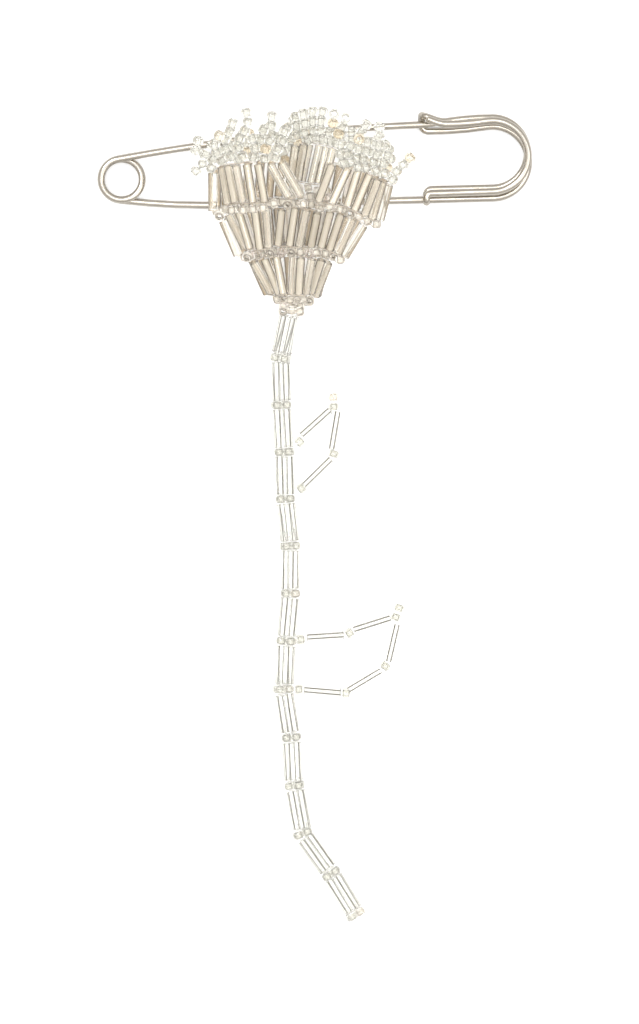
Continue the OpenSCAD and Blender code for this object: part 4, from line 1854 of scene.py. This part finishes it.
@dataclass
class Stem:
    """The long stem: rounds of four tube beads with four seed beads at each joint.

    Each row of the joints holds a place and the turn of its first bead, in degrees.
    """

    round_radius: float = 1.22
    loop_spread: float = 0.3
    corners: int = 4
    first_draw: int = 200
    joints: tuple[tuple[float, float, float, float], ...] = (
        (-4.4, 36.3, 4.45, 45), (-6.05, 27.95, 2.98, 30), (-6.05, 19.4, 2.15, 52),
        (-5.45, 10.92, 2.02, 38), (-5.3, 2.45, 2.02, 45), (-4.5, -6.05, 2.02, 60),
        (-4.4, -14.6, 2.02, 48), (-5.1, -23.2, 2.02, 40), (-5.7, -31.9, 2.02, 58),
        (-4.2, -40.6, 2.02, 45), (-3.6, -49.3, 2.02, 35), (-2.2, -57.98, 2.02, 50),
        (3.0, -65.2, 2.02, 42), (7.3, -72.54, 2.02, 55),
    )

    def offset(self, way: Vector, turn: float) -> Vector:
        """From a round's middle to one of its beads."""
        across = UP.cross(way).normalized()
        angle = math.radians(turn)
        return self.round_radius * (
            across * math.cos(angle) + way.cross(across) * math.sin(angle)
        )

    def chart(self, number: int) -> Strand:
        """Charts one round with the seed beads at its lower end.

        Args:
            number: The round's number, from 1 at the flower.

        Returns:
            The charted strand.
        """
        strand = Strand(f"stem_{number}_beads")
        *above, above_turn = self.joints[number - 1]
        *below, below_turn = self.joints[number]
        high, low = Vector(above), Vector(below)
        way = (high - low).normalized()
        last = number + 1 == len(self.joints)
        next_way = way if last else (low - Vector(self.joints[number + 1][:3])).normalized()
        seed_way = (way + next_way).normalized()
        middle = (high + low) / 2
        reach = way * BEADS.tube_length / 2
        twist = (above_turn - below_turn) / 2
        seeds, feet, tops = [], [], []
        for corner in range(self.corners):
            turn = below_turn + corner * 360 // self.corners
            foot = middle - reach + self.offset(way, turn)
            top = middle + reach + self.offset(way, turn + twist)
            strand.tube(foot, top)
            feet.append(foot + self.offset(way, turn) * self.loop_spread - way * BEADS.gap)
            loop_top = self.offset(way, turn + twist) * self.loop_spread
            tops.append(top + loop_top + way * BEADS.gap)
            seeds.append(strand.seed(low + self.offset(seed_way, turn), seed_way))
            strand.thread([seeds[-1], foot + way])
        for loop in (seeds, feet, tops):
            strand.thread(loop + loop[:1])
        return strand

    def build(self, beads: StrungBeads) -> None:
        """Builds and dresses the stem's rounds."""
        for number in range(1, len(self.joints)):
            strand = self.chart(number)
            beads.string(strand, f"stem_{number}", CLEAR, self.first_draw + number)


@dataclass(frozen=True)
class LeafBead:
    """A leaf's tube bead and the seed beads of the corner that follows it."""

    node: str
    at: Place
    heading: float
    slope: float
    corner: Place
    corner_heading: float
    corner_seeds: int
    root: Place | None = None


LEAF_BEADS = (
    LeafBead("upper_leaf_1", (0.15, 16.25, 1.3), 42, -6, (3.45, 19.1, 1), 92, 2,
             (-2.75, 12.75, 1.6)),
    LeafBead("upper_leaf_2", (3.6, 14.85, 0.95), -99.5, 0, (3.45, 10.6, 0.95), 250, 1),
    LeafBead("upper_leaf_3", (0.43, 7.28, 1.3), 224.5, 6, (-2.45, 4.35, 1.65), 215, 1),
    LeafBead("lower_leaf_1", (1.9, -22.3, 1.4), 3.5, -6, (6.3, -21.8, 1), 30, 1,
             (-2.55, -22.95, 1.7)),
    LeafBead("lower_leaf_2", (10.35, -20.1, 0.95), 17.5, 0, (14.65, -18.9, 0.95), 70, 2),
    LeafBead("lower_leaf_3", (14.1, -23.6, 0.95), -103, 0, (12.75, -27.75, 0.95), 235, 1),
    LeafBead("lower_leaf_4", (9.0, -30.35, 0.95), 211, 0, (5.66, -32.65, 1), 175, 1),
    LeafBead("lower_leaf_5", (1.4, -32.3, 1.4), 175, 6, (-2.85, -31.95, 1.85), 178, 1),
)


@dataclass
class Leaves:
    """The two outline leaves of single tube beads."""

    seed_pitch: float = 1.75
    first_draw: int = 300

    def chart(self, bead: LeafBead) -> Strand:
        """Charts one tube bead and its corner."""
        strand = Strand(f"{bead.node}_beads")
        way = heading_vector(bead.heading, bead.slope)
        middle = Vector(bead.at)
        foot, tip = strand.tube(middle - way, middle + way)
        next_way = heading_vector(bead.corner_heading)
        seeds = [
            strand.seed(Vector(bead.corner) + next_way * self.seed_pitch * count, next_way)
            for count in range(bead.corner_seeds)
        ]
        roots = [strand.seed(Vector(bead.root), way)] if bead.root else []
        strand.thread([*roots, foot, tip, *seeds])
        return strand

    def build(self, beads: StrungBeads) -> None:
        """Builds and dresses the leaves' pieces."""
        for number, bead in enumerate(LEAF_BEADS, self.first_draw):
            beads.string(self.chart(bead), bead.node, LEAF, number)


# Studio


@dataclass
class Studio:
    """The pale floor, the soft light and the camera over it.

    The view and the floor's drop are in millimetres. The floor's size and the lamps are
    in metres, and each lamp's row holds its name, its place, its size and its power.
    """

    view: Place = (0.86, 0.09, 1206.0)
    distance: float = 1200.0
    frame_height: float = 184.3
    sensor: float = 36.0
    clip: tuple[float, float] = (0.01, 20.0)
    floor_size: float = 1.6
    floor_drop: float = 0.02
    surround: tuple[Colour, ...] = (
        (0.3, 0.285, 0.26), (0.6, 0.585, 0.56), (0.95, 0.94, 0.92),
    )
    surround_strength: float = 1.25
    lamp_colour: Colour = (1.0, 0.985, 0.96)
    lamp_aim: Place = (0.0, 0.02, 0.0)
    lamps: tuple[tuple[str, Place, float, float], ...] = (
        ("key", (-0.55, 0.5, 1.25), 0.6, 5.6),
        ("fill", (0.8, -0.35, 1.1), 0.9, 3.8),
        ("top", (0.0, 0.1, 1.6), 0.5, 3.8),
    )

    def floor(self, shelf: Shelf) -> None:
        """Lays the light table that the brooch lies on."""
        mesh = bpy.data.meshes.new("floor")
        half = self.floor_size / 2
        corners = [(-half, -half, 0), (half, -half, 0), (half, half, 0), (-half, half, 0)]
        mesh.from_pydata(corners, [], [(0, 1, 2, 3)])
        mesh.materials.append(shelf.material(TableFinish("light_table")))
        floor = bpy.data.objects.new("floor", mesh)
        floor.location.z = -self.floor_drop * MM
        bpy.context.scene.collection.objects.link(floor)

    def world(self) -> None:
        """Sets a surround that is bright above and dim at the horizon."""
        world = bpy.data.worlds.new("studio")
        bpy.context.scene.world = world
        world.use_nodes = True
        world.node_tree.nodes.clear()
        maker = TreeMaker(world.node_tree)
        way = maker.add("ShaderNodeTexCoord").outputs["Generated"]
        split = maker.add("ShaderNodeSeparateXYZ", {0: way})
        ramp = maker.add("ShaderNodeValToRGB", {0: split.outputs["Z"]})
        stops = ramp.color_ramp.elements
        stops.new(0.5)
        for stop, colour in zip(stops, self.surround):
            stop.color = (*colour, 1.0)
        strength = self.surround_strength
        back = maker.add("ShaderNodeBackground", {"Color": ramp, "Strength": strength})
        maker.add("ShaderNodeOutputWorld", {"Surface": back})

    def lights(self) -> None:
        """Hangs the softboxes."""
        for name, at, size, power in self.lamps:
            lamp = bpy.data.lights.new(name, "AREA")
            lamp.size, lamp.energy, lamp.color = size, power, self.lamp_colour
            holder = bpy.data.objects.new(name, lamp)
            holder.location = at
            aim = Vector(self.lamp_aim) - Vector(at)
            holder.rotation_euler = aim.to_track_quat("-Z", "Y").to_euler()
            bpy.context.scene.collection.objects.link(holder)

    def camera(self) -> None:
        """Sets the camera straight above the brooch."""
        lens = bpy.data.cameras.new("camera")
        lens.sensor_width = self.sensor
        lens.lens = self.sensor * self.distance / self.frame_height
        lens.clip_start, lens.clip_end = self.clip
        camera = bpy.data.objects.new("camera", lens)
        camera.location = Vector(self.view) * MM
        bpy.context.scene.collection.objects.link(camera)
        bpy.context.scene.camera = camera

    def build(self, shelf: Shelf) -> None:
        """Sets up the whole studio."""
        self.camera()
        self.floor(shelf)
        self.world()
        self.lights()
        scene = bpy.context.scene
        scene.view_settings.view_transform = "Standard"
        scene.view_settings.look = "None"
        scene.cycles.max_bounces = 40
        scene.cycles.transmission_bounces = 36
        scene.cycles.transparent_max_bounces = 24
        scene.cycles.glossy_bounces = 12
        scene.cycles.caustics_refractive = True
        scene.cycles.caustics_reflective = False


def main() -> None:
    """Builds the studio and the brooch, piece by piece."""
    logging.basicConfig(level=logging.INFO, format="%(name)s: %(message)s")
    shelf = Shelf()
    Studio().build(shelf)
    beads = StrungBeads(shelf)
    Pin().build(DrawnWire(shelf.material(STEEL)))
    Flower().build(beads)
    Stem().build(beads)
    Leaves().build(beads)


if __name__ == "__main__":
    main()
